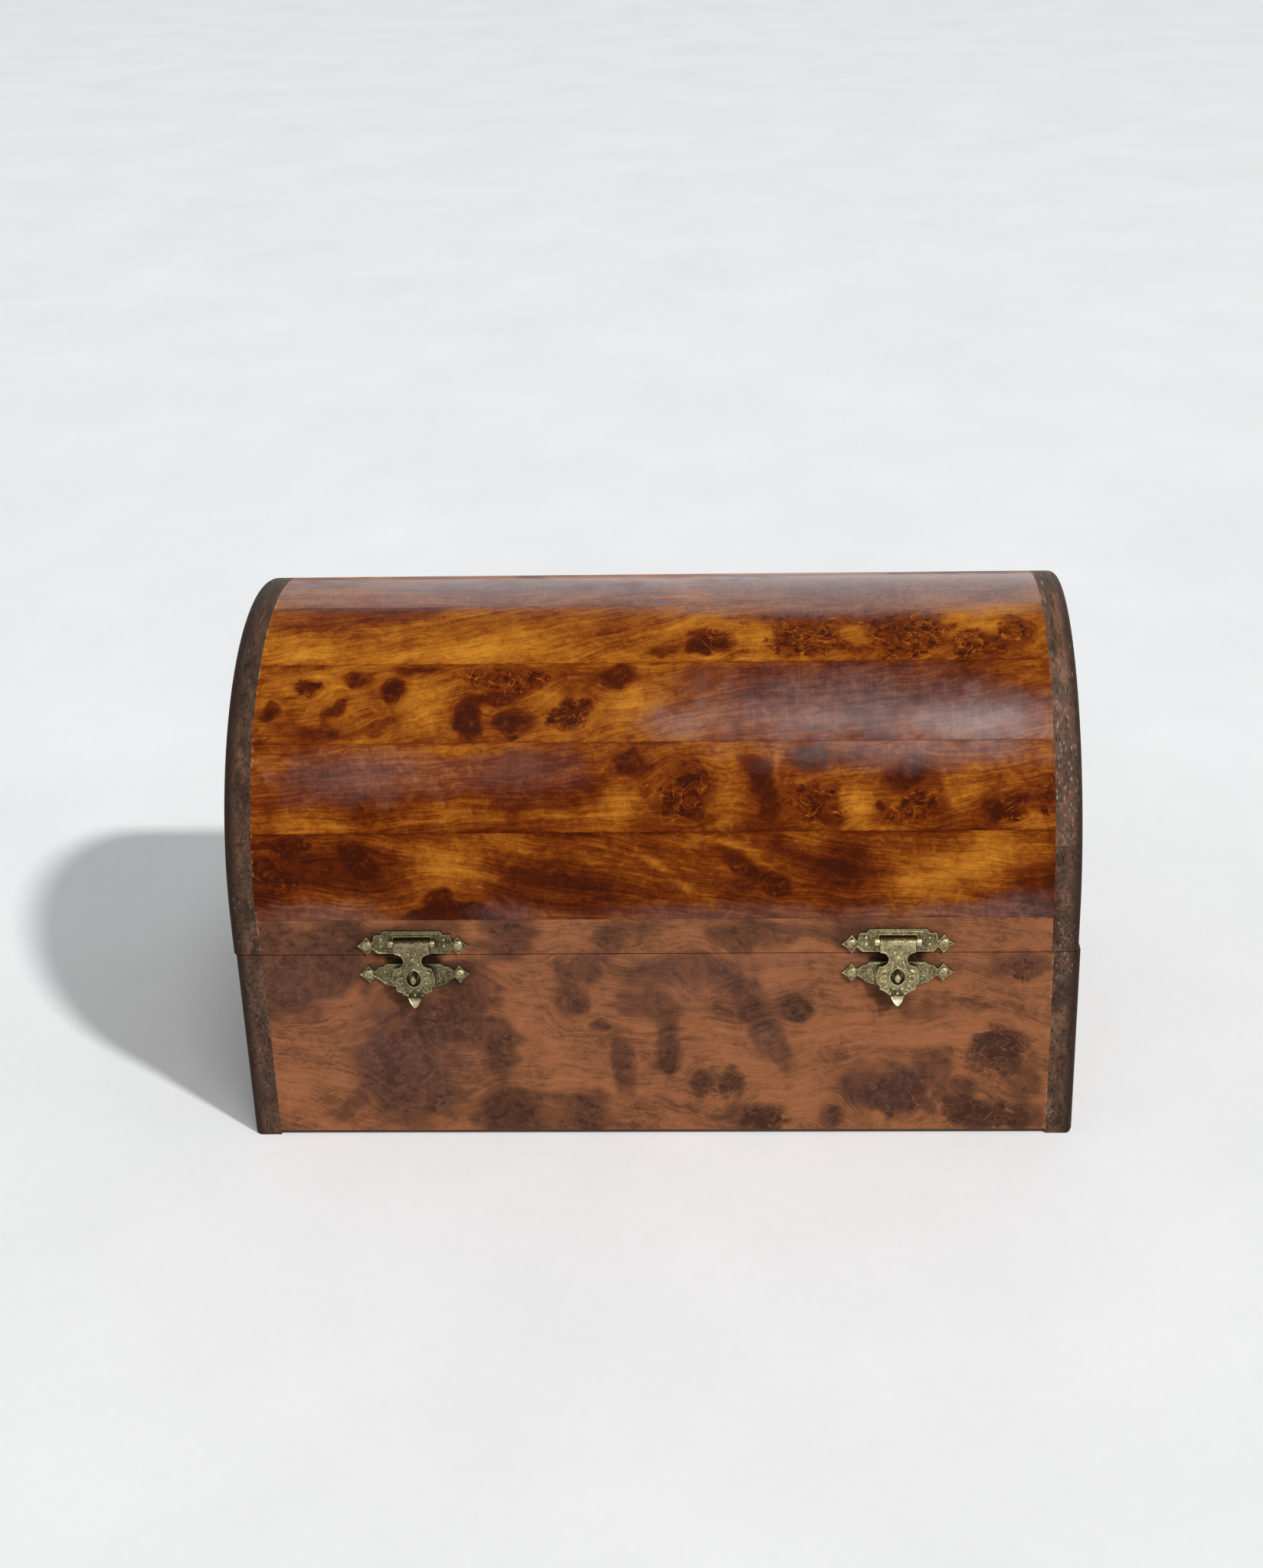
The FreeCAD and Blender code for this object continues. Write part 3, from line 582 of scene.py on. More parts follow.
def over_colour(g, colour, noises, haze_and_sheen_mask, ends, grime, haze):
    """Lay over the colour the haze, which is partly a painted sheen, the glue along the ends and the painted
    shade round the hasps.
    """
    # The haze and its pale streaks, partly a painted sheen
    veil = g.times(haze_and_sheen_mask, g.swung(HAZE_LEVEL, noises, HAZE_SWINGS), clamp=True)
    streak = g.ease(g.swung(0.5, noises, STREAK_SWINGS), *STREAK_EDGE)
    streaked = g.mix(streak, rgba(haze, HAZE_DARK), rgba(haze, HAZE_SHEEN_PALE))
    colour = g.mix(g.times(veil, HAZE_DEPTH), colour, streaked)
    glue = g.times(g.fade(ends, *GLUE_REACH), g.ease(noises["mottle"], *GLUE_PATCHES))
    colour = g.mix(g.times(glue, GLUE_DEPTH), colour, GLUE_COLOUR)
    # Painted shade round the hasps: the near-black colour mixed in
    shaded = g.times(grime, g.swung(PAINTED_SHADE_LEVEL, noises, PAINTED_SHADE_SWINGS), clamp=True)
    return g.mix(shaded, colour, PAINTED_SHADE_COLOUR)


def burl_material(name, stops, look):
    """Varnished burl veneer: lines along the grain, dark knots, eye clusters with pale curls."""
    g = new_finish(name)
    spaces = {"grain": g.attribute("grain"), "sheet": g.attribute("sheet")}
    dark, clusters, glow = g.channels(g.attribute("figure", "Color"))
    # The marks' first channel is the haze, partly a painted sheen
    haze_and_sheen_mask, rim, ends = g.channels(g.attribute("marks", "Color"))
    noises = g.noises(spaces, BURL_NOISES)
    curls = burl_curls(g, spaces["sheet"], noises["curl"])
    dots = burl_eyes(g, spaces["sheet"], noises)

    tone = g.swung(glow, noises, GRAIN_SWINGS, look.contrast)
    tone, knot, halo = over_knots(g, tone, dark, noises, curls, look)
    tone = over_clusters(g, tone, clusters, noises, curls, dots, knot, halo)
    seam = g.fade(g.plus(rim, g.times(noises["cloud"], SEAM_CLOUD)), *SEAM_EDGE)
    tone = g.minus(tone, g.times(seam, SEAM_DEPTH), clamp=True)
    # The figure's alpha is the painted shade round the hasps
    grime = g.attribute("figure", "Alpha")
    colour = over_colour(g, g.ramp(tone, stops), noises, haze_and_sheen_mask, ends, grime, colours().haze)

    varnish = g.times(g.attribute("marks", "Alpha"), look.varnish)
    g.surface(
        Base_Color=colour,
        Roughness=g.ease(noises["mottle"], *NOISE_SPAN, look.matt - 0.06, look.matt + 0.08),
        Normal=g.bump(noises["hair"], HAIR_BUMP, VENEER_BUMP,
                      g.bump(noises["polish"], POLISH_BUMP, VENEER_BUMP)),
        Coat_Weight=g.plus(LEAST_VARNISH, varnish, clamp=True),
        Coat_Roughness=VARNISH_ROUGHNESS,
        Specular_IOR_Level=VENEER_SPECULAR)
    return g.owner


BOARD_NOISES = {
    "lines": ("wood", (1.1, 0.045, 0.9), 4.0, 0.6),
    "patches": ("wood", (0.22, 0.018, 0.12), 4.0, 0.6),
    "grit": ("wood", (1.3, 0.30, 1.1), 3.0, 0.7),
    "pore_patches": ("wood", (0.10, 0.02, 0.045), 2.0, 0.5),
    "stain": ("stain", (0.30, 0.035, 0.20), 3.0, 0.6),
}
BOARD_SWINGS = {"lines": 0.9, "patches": 1.8, "grit": 1.0}
STAIN_STEP = (31.0, 7.0, 19.0)
STAIN_EDGE = (0.48, 0.64)
STAIN_DEPTH = 0.60
BOARD_OLIVE = (0.050, 0.042, 0.029, 1.0)
PALE_PORE = (0.42, 0.37, 0.31, 1.0)
PORE_SCALE = (1.30, 0.10, 0.55)
PORE_EDGE = (0.18, 0.40)
PORE_SHARE = (0.60, 0.80)
PORE_SHARE_DROP = 0.35
PORE_PATCH_START = 0.50
PORE_PATCH_DROP = 0.15
PORE_PATCH_FULL = 0.60
PALE_PORE_LEAST = 0.20
PALE_PORE_MORE = 0.40
DARK_PORE_DEPTH = 0.7
DARK_PORE_SHADE = 0.2
PORE_HOLLOW = 0.8
CORNER_FROM_SIDE = (121.4, 124.0)
CORNER_INSET = (1.0, 4.5)
CORNER_DEPTH = 0.88
CORNER_SHADE = 0.26
BOARD_SPECULAR = 0.10

# Tint, share of pale pores and seed of each end board. On the right-hand boards the higher tint and the
# larger share of pale pores are partly a painted sheen, over the wood's own colour.
BOARD_LOOKS = {
    "case_left": (1.00, 0.20, 11.0), "case_right": (1.30, 0.45, 57.0),
    "lid_left_lower": (0.95, 0.10, 140.0), "lid_left_upper": (0.62, 0.00, 230.0),
    "lid_right_lower": (1.15, 0.40, 310.0), "lid_right_upper": (1.50, 1.00, 405.0),
}


def board_corner(g, own, noises):
    """1 along the outer corner of an end board, fading over a few millimetres across both of its faces."""
    x, y, z = g.node("ShaderNodeSeparateXYZ", {"Vector": own}).outputs
    outer = g.swung(g.math("ABSOLUTE", x), noises, {"grit": 4.0, "patches": 6.0})
    rise = g.larger(g.minus(z, Layout.spring), 0.0)
    reach = g.math("SQRT", g.plus(g.times(y, y), g.times(rise, rise)))
    inset = g.swung(g.minus(Layout.radius, reach), noises, {"grit": 3.0, "patches": 5.0})
    return g.times(g.ease(outer, *CORNER_FROM_SIDE), g.fade(inset, *CORNER_INSET))


def board_pores(g, wood, noises, specks):
    """The open pores: all of them, and those that are filled pale."""
    cell = g.cells(g.stretch(wood, PORE_SCALE))
    pores = g.fade(g.swung(cell["Distance"], noises, {"grit": 0.5}), *PORE_EDGE)
    filled = g.ease(g.channels(cell["Color"])[0], *(edge - PORE_SHARE_DROP * specks for edge in PORE_SHARE))
    patches = g.ease(noises["pore_patches"], PORE_PATCH_START - PORE_PATCH_DROP * specks, PORE_PATCH_FULL)
    return pores, filled, g.times(g.times(pores, filled), patches)


def board_material(name, tint_and_sheen, specks, seed):
    """Dark open-pored wood of an end board, dirty, and darkest along its outer edges."""
    g = new_finish(name)
    board = colours().board
    own = g.millimetres()
    wood = g.shift(own, (seed, seed * 0.7, seed * 1.3))
    noises = g.noises({"wood": wood, "stain": g.shift(wood, STAIN_STEP)}, BOARD_NOISES)
    # The tint also carries the painted sheen of the right-hand boards
    colour = g.ramp(g.swung(0.5, noises, BOARD_SWINGS), [
        (0.15, rgba(board, 0.40 * tint_and_sheen)), (0.50, rgba(board, tint_and_sheen)), (0.88, rgba(board, 2.0 * tint_and_sheen))])
    colour = g.mix(g.ease(noises["stain"], *STAIN_EDGE, 0.0, STAIN_DEPTH), colour, BOARD_OLIVE)
    pores, filled, pale = board_pores(g, wood, noises, specks)
    colour = g.mix(g.times(pale, PALE_PORE_LEAST + PALE_PORE_MORE * specks), colour, PALE_PORE)
    empty = g.times(pores, g.minus(1.0, filled))
    colour = g.mix(g.times(empty, DARK_PORE_DEPTH), colour, rgba(board, DARK_PORE_SHADE))
    corner = g.times(board_corner(g, own, noises), CORNER_DEPTH)
    height = g.minus(noises["lines"], g.times(pores, PORE_HOLLOW))
    g.surface(
        Base_Color=g.mix(corner, colour, rgba(board, CORNER_SHADE)),
        Roughness=g.ease(noises["grit"], *NOISE_SPAN, 0.50, 0.68),
        Normal=g.bump(noises["grit"], 0.3, 0.08 * MM, g.bump(height, 0.45, 0.12 * MM)),
        Specular_IOR_Level=BOARD_SPECULAR)
    return g.owner


RING_SCALE = (0.03, 0.9, 0.9)
RING_BEND = (2.0, 2.0, 2.0)
PLAIN_WOOD_NOISES = {
    "bend": ("wood", (0.012, 0.05, 0.05), 3.0, 0.5),
    "fleck": ("wood", (0.35, 3.0, 3.0), 2.0, 0.5),
}


def plain_wood_material(name, colour, matt):
    """Straight-grained wood under the veneer and inside the box."""
    g = new_finish(name)
    wood = g.millimetres()
    noises = g.noises({"wood": wood}, PLAIN_WOOD_NOISES)
    rings = g.noise(g.shift(g.stretch(wood, RING_SCALE), g.stretch(noises["bend"], RING_BEND)), 4.0, 0.6)
    tone = g.plus(g.times(rings, 0.7), g.times(noises["fleck"], 0.3))
    g.surface(
        Base_Color=g.ramp(tone, [
            (0.30, rgba(colour, 0.55)), (0.52, rgba(colour)), (0.74, rgba(colour, 1.35)),
        ]),
        Roughness=g.ease(noises["fleck"], *NOISE_SPAN, matt - 0.05, matt + 0.08),
        Normal=g.bump(tone, 0.35, 0.1 * MM),
        Coat_Roughness=0.5)
    return g.owner


# How much brighter or darker each hasp is painted than plain antique brass, as painted light: the left one in
# shade, the right one lit.
HASP_PAINTED_LIGHT = {"left": 0.66, "right": 1.08}
# Pale brass where it stands proud and is rubbed, also laid as a painted highlight on the tongues' bent tips
RUBBED_AND_HIGHLIGHT_BRASS = (0.72, 0.64, 0.43)
RUB_AND_HIGHLIGHT_EDGE = (1.10, 1.60)
RUB_AND_HIGHLIGHT_DEPTH = 0.85
BRASS_NOISES = {
    "stain": ("brass", (0.35, 0.35, 0.35), 4.0, 0.6),
    "stipple": ("brass", (1.5, 1.5, 1.5), 4.0, 0.65),
}
BRASS_SWINGS = {"stipple": 2.0, "stain": 1.2}


def brass_material(name, gloss, painted_light):
    """Old stamped brass: khaki patina in the hollows, rubbed bright where it stands proud, with a painted
    highlight on each tongue's bent tip and painted shade in the crease above it.
    """
    g = new_finish(name)
    c = colours()
    noises = g.noises({"brass": g.millimetres()}, BRASS_NOISES)
    rub_and_highlight = g.swung(g.attribute("proud", "Fac"), noises, BRASS_SWINGS)
    # painted_light scales every brass colour, for the painted light and shade of that hasp
    colour = g.ramp(rub_and_highlight, [
        (0.12, rgba(c.brass_dark, painted_light)), (0.50, rgba(c.brass, 0.72 * painted_light)),
        (0.92, rgba(c.brass, 1.35 * painted_light))])
    g.surface(
        Base_Color=g.mix(g.ease(rub_and_highlight, *RUB_AND_HIGHLIGHT_EDGE, 0.0, RUB_AND_HIGHLIGHT_DEPTH), colour, rgba(RUBBED_AND_HIGHLIGHT_BRASS, painted_light)),
        Metallic=1.0,
        Roughness=g.ease(rub_and_highlight, 0.2, 0.9, gloss + 0.20, gloss),
        Normal=g.bump(noises["stipple"], 0.55, 0.28 * MM))
    return g.owner


HINGE_NOISES = {
    "stain": ("brass", (0.25, 0.25, 0.25), 4.0, 0.6),
    "brushed": ("brass", (0.3, 3.0, 3.0), 3.0, 0.6),
}


def plain_brass_material(name):
    """Brass of the rear hinges and their screws, which carry no relief."""
    g = new_finish(name)
    c = colours()
    noises = g.noises({"brass": g.millimetres()}, HINGE_NOISES)
    tone = g.plus(g.times(noises["stain"], 0.7), g.times(noises["brushed"], 0.3))
    g.surface(
        Base_Color=g.ramp(tone, [
            (0.30, rgba(c.brass_dark, 1.2)), (0.55, rgba(c.brass, 0.9)), (0.75, rgba(c.brass, 1.2))]),
        Metallic=1.0,
        Roughness=g.ease(noises["brushed"], *NOISE_SPAN, 0.30, 0.44),
        Normal=g.bump(noises["brushed"], 0.15, 0.05 * MM))
    return g.owner


FLOOR_NOISES = {
    "wash": ("floor", (9.0, 7.0, 8.0), 5.0, 0.65),
    "grit": ("floor", (260.0, 260.0, 260.0), 2.0, 0.6),
}


def floor_material():
    """Pale plaster with faint mottling."""
    g = new_finish("pale_plaster")
    floor = colours().floor
    noises = g.noises({"floor": g.place()}, FLOOR_NOISES)
    tone = g.plus(g.times(noises["wash"], 0.8), g.times(noises["grit"], 0.2))
    g.surface(
        Base_Color=g.ramp(tone, [(0.25, rgba(floor, 0.94)), (0.75, rgba(floor, 1.05))]),
        Roughness=g.ease(noises["grit"], *NOISE_SPAN, 0.80, 0.92),
        Normal=g.bump(noises["grit"], 0.08, 0.4 * MM),
        Specular_IOR_Level=0.2)
    return g.owner


FINISHES = {}


def finish_for(name, make, *values):
    """The finish of that name, made on its first use."""
    if name not in FINISHES:
        FINISHES[name] = make(name, *values)
    return FINISHES[name]


def dome_burl():
    c = colours()
    stops = [
        (0.00, rgba(c.deep)), (0.20, rgba(c.dark_red)), (0.40, rgba(c.red_brown)),
        (0.62, rgba(c.amber)), (0.95, rgba(c.golden))]
    return finish_for("varnished_dome_burl", burl_material, stops, DOME_LOOK)


def side_burl():
    c = colours()
    middle = [(light + dark) / 2.1 for light, dark in zip(c.front_light, c.front_dark)]
    stops = [
        (0.04, rgba(c.front_dark, 0.7)), (0.26, rgba(c.front_dark, 1.25)), (0.46, rgba(middle)),
        (0.68, rgba(c.front_light)), (1.00, rgba(c.front_light, 1.30))]
    return finish_for("matt_side_burl", burl_material, stops, SIDE_LOOK)


def dress(piece, material):
    """Give a piece one material in all its slots."""
    piece.data.materials.clear()
    piece.data.materials.append(material)


# Mesh helpers: they work in millimetres, and finished() scales the mesh once

SHARP_ANGLE = math.radians(38.0)
CORNER_ANGLE = math.radians(60.0)
RIGHT_ANGLE = math.radians(90.0)
WELD = 0.0005
FINE_WELD = 0.00001
CUT_TOLERANCE = 1e-5
SAME_PLACE = 1e-4


def finished(mesh, name, body, node, material, weld=WELD):
    """Clean a bmesh, turn it to metres and make it a piece that rides on a body."""
    bmesh.ops.remove_doubles(mesh, verts=mesh.verts, dist=weld)
    bmesh.ops.recalc_face_normals(mesh, faces=mesh.faces)
    for face in mesh.faces:
        face.smooth = True
    for edge in mesh.edges:
        if len(edge.link_faces) == 2:
            edge.smooth = edge.calc_face_angle(0.0) < SHARP_ANGLE
    bmesh.ops.scale(mesh, vec=(MM, MM, MM), verts=mesh.verts)
    piece = linked_object(name, mesh)
    dress(piece, material)
    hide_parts(node)
    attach(piece, body)
    return piece


def linked_object(name, mesh):
    """Put a bmesh into the scene as an object."""
    data = bpy.data.meshes.new(name)
    mesh.to_mesh(data)
    mesh.free()
    made = bpy.data.objects.new(name, data)
    bpy.context.scene.collection.objects.link(made)
    return made


def everything(mesh):
    return mesh.verts[:] + mesh.edges[:] + mesh.faces[:]


def bevel(mesh, edges, offset, segments, clamp=True):
    bmesh.ops.bevel(mesh, geom=edges, offset=offset, offset_type="OFFSET", segments=segments,
                    profile=0.5, affect="EDGES", clamp_overlap=clamp, material=-1)


def is_corner(edge):
    return len(edge.link_faces) == 2 and edge.calc_face_angle(0.0) > CORNER_ANGLE


def extruded_verts(mesh, faces, keep=False):
    """Extrude faces in place and give the new vertices."""
    made = bmesh.ops.extrude_face_region(mesh, geom=faces, use_keep_orig=keep)
    return [item for item in made["geom"] if isinstance(item, bmesh.types.BMVert)]


def slice_off(mesh, place, away):
    """Cut a closed mesh with a plane, drop the part on the away side and close the cut."""
    bmesh.ops.bisect_plane(mesh, geom=everything(mesh), dist=CUT_TOLERANCE,
                           plane_co=place, plane_no=away, clear_outer=True)
    rim = [edge for edge in mesh.edges if len(edge.link_faces) == 1]
    if rim:
        bmesh.ops.edgenet_fill(mesh, edges=rim)


def cut_for_lid_stop(mesh, side):
    """Slope the back edge at the joint, side -1 on the case and +1 on the lid."""
    lean = math.radians(LID_OPEN_ANGLE / 2)
    start_y = Layout.axis_y - Layout.half_gap * (1.0 - math.cos(lean)) / math.sin(lean)
    place = (0.0, start_y, Layout.joint + side * Layout.half_gap)
    slice_off(mesh, place, Vector((0.0, math.sin(lean), -side * math.cos(lean))))


def even_cuts(length, step):
    return max(1, round(length / step))


# The figure of the veneer. A smooth noise is given by its swing, its reach in millimetres and its seed.

GRAIN_WAVES = ((1.0, 34.0, 0.0), (0.35, 10.0, 7.0))
GRAIN_WRAP = 0.60
RAGGED_EDGE = ((0.26, 4.0, 3.0), (0.20, 9.0, 11.0))
SWIRL_ALONG = ((1.5, 5.0, 23.0), (0.7, 2.2, 29.0))
SWIRL_UP = ((1.5, 5.0, 31.0), (0.7, 2.2, 37.0))
LEVEL_SWING = ((0.10, 26.0, 19.0),)
GLOW_FALL = 1.2

# How far out from its middle a spot is still full, and where it ends, with 1 at its rim
SPOT_EDGE = (0.35, 1.50)
CLUSTER_RIM = (0.40, 1.45)
HAZE_EDGE = (0.10, 1.35)
# The last is the edge of the painted shade round the hasps
PAINTED_SHADE_EDGE = (0.55, 1.25)

# The varnish shines on the crown, more to the right, between these two heights in millimetres
CROWN_SHINE = 0.40
CROWN_TILT = 0.28
CROWN_HEIGHTS = (147.0, 149.3)


def values_of(verts):
    """Vertex places of a mesh in millimetres, as an array."""
    flat = np.empty(len(verts) * 3)
    verts.foreach_get("co", flat)
    return flat.reshape(-1, 3) / MM


def smooth_step(low, high, value):
    t = np.clip((value - low) / (high - low), 0.0, 1.0)
    return t * t * (3.0 - 2.0 * t)


def layered(x, v, seed, layers):
    """The sum of smooth noises over the sheet."""
    return sum(swing * np.array([noise.noise(Vector((a / reach, b / reach, seed + step)))
                                 for a, b in zip(x, v)])
               for swing, reach, step in layers)


def reach_of(spot, x, v):
    """How far each point lies from a spot's middle, with 1 at its rim."""
    lean = math.radians(spot.lean)
    dx = x - spot.x
    dv = v - spot.v
    along = dx * math.cos(lean) + dv * math.sin(lean)
    across = dv * math.cos(lean) - dx * math.sin(lean)
    return np.hypot(along / spot.long, across / spot.wide)


def cover(spots, x, v, ragged, edge):
    """How much of the spots lies over each point, from 0 to 1."""
    clear = np.ones(len(x))
    for spot in spots:
        clear *= 1.0 - spot.depth * (1.0 - smooth_step(*edge, reach_of(spot, x, v) + ragged))
    return 1.0 - clear


def grain_run(figure, x, v, seed):
    """Two coordinates that follow the grain: along it and across it, wrapped round the knots."""
    lean = math.radians(figure.lean)
    across = v * math.cos(lean) - x * math.sin(lean)
    along = x * math.cos(lean) + v * math.sin(lean)
    for swing, reach, step in GRAIN_WAVES:
        across += layered(x, v, seed, [(swing * figure.wave, reach, step)])
    for spot in list(figure.spots) + list(figure.eyes):
        size = spot.long * spot.wide * spot.depth
        away = (x - spot.x) ** 2 + (v - spot.v) ** 2
        across -= GRAIN_WRAP * (v - spot.v) * size / (away + GRAIN_WRAP * size)
    return along, across


def write_attribute(data, name, kind, field, columns):
    made = data.attributes.new(name, kind, "POINT")
    made.data.foreach_set(field, np.column_stack(columns).astype(np.float32).ravel())


def draw_figure(piece, figure, place, height, half_length, seed):
    """Write a sheet's figure on its mesh, where place turns vertex places into x and v."""
    data = piece.data
    spots = values_of(data.vertices)
    x, v = place(spots)
    along, across = grain_run(figure, x, v, seed)
    ragged = layered(x, v, seed, RAGGED_EDGE)
    swirled = (x + layered(x, v, seed, SWIRL_ALONG), v + layered(x, v, seed, SWIRL_UP))
    dark = cover(figure.spots, *swirled, ragged, SPOT_EDGE)
    clusters = cover(figure.eyes, *swirled, ragged, CLUSTER_RIM)
    # Hazes, partly a painted sheen
    haze = cover(figure.hazes, x, v, ragged, HAZE_EDGE)
    # Painted shade round the hasps
    grime = cover(figure.grimes, x, v, ragged, PAINTED_SHADE_EDGE)
    crown = (CROWN_SHINE + CROWN_TILT * x / half_length) * smooth_step(*CROWN_HEIGHTS, spots[:, 2])
    glow = figure.level + layered(x, v, seed, LEVEL_SWING)
    for spot in figure.glows:
        glow += spot.depth * np.exp(-GLOW_FALL * reach_of(spot, x, v) ** 2)
    rim = np.minimum(v, height - v)
    ends = half_length - np.abs(x)
    depth = np.full(len(x), seed)
    write_attribute(data, "grain", "FLOAT_VECTOR", "vector", [along, across, depth])
    write_attribute(data, "sheet", "FLOAT_VECTOR", "vector", [x, v, depth])
    write_attribute(data, "figure", "FLOAT_COLOR", "color", [dark, clusters, glow, grime])
    write_attribute(data, "marks", "FLOAT_COLOR", "color", [haze, rim, ends, np.clip(haze + crown, 0.0, 1.0)])


# A figure of the same kind for the sheets that face away. The ranges are those of a Spot's values.
HIDDEN_SEED = 41
HIDDEN_CLUSTERS = 5
HIDDEN_SPOTS_PER_CLUSTER = 5
HIDDEN_MIDDLES = ((-112.0, 112.0), (0.1, 0.9))
HIDDEN_EYES = ((5, 12), (4, 8), (-30, 30))
HIDDEN_EYE_DEPTH = 0.85
HIDDEN_SCATTER = (16.0, 0.25)
HIDDEN_SPOTS = ((2.5, 8.0), (2.0, 5.0), (-50, 50), (0.5, 0.95))
HIDDEN_GLOW_REACH = 110
HIDDEN_GLOWS = ((12, 30), (6, 12), (-20, 20), (-0.18, 0.28))
HIDDEN_HAZE_REACH = 90
HIDDEN_HAZE_LENGTH = 40.0
HIDDEN_HAZE_DEPTH = 0.6
HIDDEN_LEANS = (-10, 12)
HIDDEN_WAVE = 2.8
HIDDEN_STRIP_LEVEL = 0.52
BACK_LEVEL = 0.58


def hidden_figure(seed, height, level):
    """Knots and clusters scattered by seeded draws."""
    draw = random.Random(seed)
    spots = []
    eyes = []
    glows = []
    for _ in range(HIDDEN_CLUSTERS):
        middle_x = draw.uniform(*HIDDEN_MIDDLES[0])
        middle_v = draw.uniform(*HIDDEN_MIDDLES[1]) * height
        eyes.append(Spot(middle_x, middle_v, *drawn(draw, HIDDEN_EYES), HIDDEN_EYE_DEPTH))
        for _ in range(HIDDEN_SPOTS_PER_CLUSTER):
            x = middle_x + draw.gauss(0.0, HIDDEN_SCATTER[0])
            v = middle_v + draw.gauss(0.0, HIDDEN_SCATTER[1] * height)
            spots.append(Spot(x, v, *drawn(draw, HIDDEN_SPOTS)))
        x = draw.uniform(-HIDDEN_GLOW_REACH, HIDDEN_GLOW_REACH)
        glows.append(Spot(x, draw.uniform(0, height), *drawn(draw, HIDDEN_GLOWS)))
    haze_x = draw.uniform(-HIDDEN_HAZE_REACH, HIDDEN_HAZE_REACH)
    haze = Spot(haze_x, 0.5 * height, HIDDEN_HAZE_LENGTH, 0.5 * height, 0.0, HIDDEN_HAZE_DEPTH)
    return Sheet(level, draw.uniform(*HIDDEN_LEANS), HIDDEN_WAVE, spots, eyes, glows, [haze])


def drawn(draw, ranges):
    return [draw.uniform(low, high) for low, high in ranges]


# Dome strips

STRIP_SEED = 3.7


def strip_mesh(index, x0, x1, grid, eased):
    """One strip: a line along the box, spun round the dome's centre and given the veneer's thickness."""
    start = index * Layout.strip_angle
    centre = Vector((0.0, 0.0, Layout.spring))
    foot = centre + Vector((0.0, -math.cos(start), math.sin(start))) * Layout.radius
    mesh = bmesh.new()
    ends = [mesh.verts.new((x, foot.y, foot.z)) for x in (x0, x1)]
    line = mesh.edges.new(ends)
    bmesh.ops.subdivide_edges(mesh, edges=[line], cuts=even_cuts(x1 - x0, grid) - 1)
    bmesh.ops.spin(mesh, geom=mesh.verts[:] + mesh.edges[:], cent=centre, axis=(1.0, 0.0, 0.0),
                   angle=-Layout.strip_angle, steps=even_cuts(Layout.strip_width, grid))
    bmesh.ops.recalc_face_normals(mesh, faces=mesh.faces)
    outward = mesh.faces[:][0]
    if outward.normal.dot(outward.calc_center_median() - centre) < 0.0:
        bmesh.ops.reverse_faces(mesh, faces=mesh.faces)
    bmesh.ops.solidify(mesh, geom=mesh.faces[:], thickness=Layout.veneer)
    if eased > 0.0:
        bevel(mesh, long_outer_edges(mesh, centre), eased, 1)
    return mesh


def long_outer_edges(mesh, centre):
    """The two long outer edges of a strip, which are sanded."""
    picked = []
    for edge in filter(is_corner, mesh.edges):
        middle = (edge.verts[0].co + edge.verts[1].co) / 2
        if (middle - centre).yz.length > Layout.radius - Layout.veneer / 2 and is_along_x(edge):
            picked.append(edge)
    return picked


def is_along_x(edge):
    run = edge.verts[1].co - edge.verts[0].co
    return abs(run.x) > 0.9 * run.length


def strip_place(index):
    """How a vertex of a strip reads as x and the distance up from the strip's lower edge."""
    start = index * Layout.strip_angle

    def place(spots):
        turn = np.arctan2(spots[:, 2] - Layout.spring, -spots[:, 1])
        turn = np.where(turn < -0.5 * math.pi, turn + 2.0 * math.pi, turn)
        return spots[:, 0], (turn - start) * Layout.radius

    return place


def build_strip(number):
    node = "lid_strip_veneer_%d" % number
    low, high = corners(node)
    s = sizes()
    mesh = strip_mesh(number - 1, low.x, high.x, s.sheet_grid / MM, s.eased_edge / MM)
    piece = finished(mesh, "dome_strip_%d" % number, "lid", node, dome_burl())
    width = Layout.strip_width
    figure = STRIP_FIGURES.get(number) or hidden_figure(HIDDEN_SEED + number, width, HIDDEN_STRIP_LEVEL)
    draw_figure(piece, figure, strip_place(number - 1), width, (high.x - low.x) / 2, STRIP_SEED * number)


class BURLBOX_OT_dome_strips(bpy.types.Operator):
    """Nine burl strips of the barrel lid"""

    bl_idname = "burlbox.dome_strips"
    bl_label = "Dome strips"

    def execute(self, context):
        for number in range(1, STRIP_COUNT + 1):
            build_strip(number)
        return {"FINISHED"}


# Flat veneers

FRONT_SEED = 60.0
BACK_SEED = 83.0


def flat_sheet_mesh(low, high, grid, outward):
    """An upright veneer between two corners, gridded on its faces."""
    mesh = bmesh.new()
    wide = high.x - low.x
    tall = high.z - low.z
    face_y = low.y if outward < 0 else high.y
    middle = Vector(((low.x + high.x) / 2, face_y, (low.z + high.z) / 2))
    place = Matrix.Translation(middle) @ Matrix.Rotation(RIGHT_ANGLE, 4, "X")
    bmesh.ops.create_grid(mesh, x_segments=even_cuts(wide, grid), y_segments=even_cuts(tall, grid), size=0.5)
    bmesh.ops.scale(mesh, vec=(wide, tall, 1.0), verts=mesh.verts)
    bmesh.ops.transform(mesh, matrix=place, verts=mesh.verts)
    if mesh.faces[:][0].normal.y * outward < 0.0:
        bmesh.ops.reverse_faces(mesh, faces=mesh.faces)
    bmesh.ops.solidify(mesh, geom=mesh.faces[:], thickness=high.y - low.y)
    return mesh


def front_place(spots):
    return spots[:, 0], spots[:, 2]


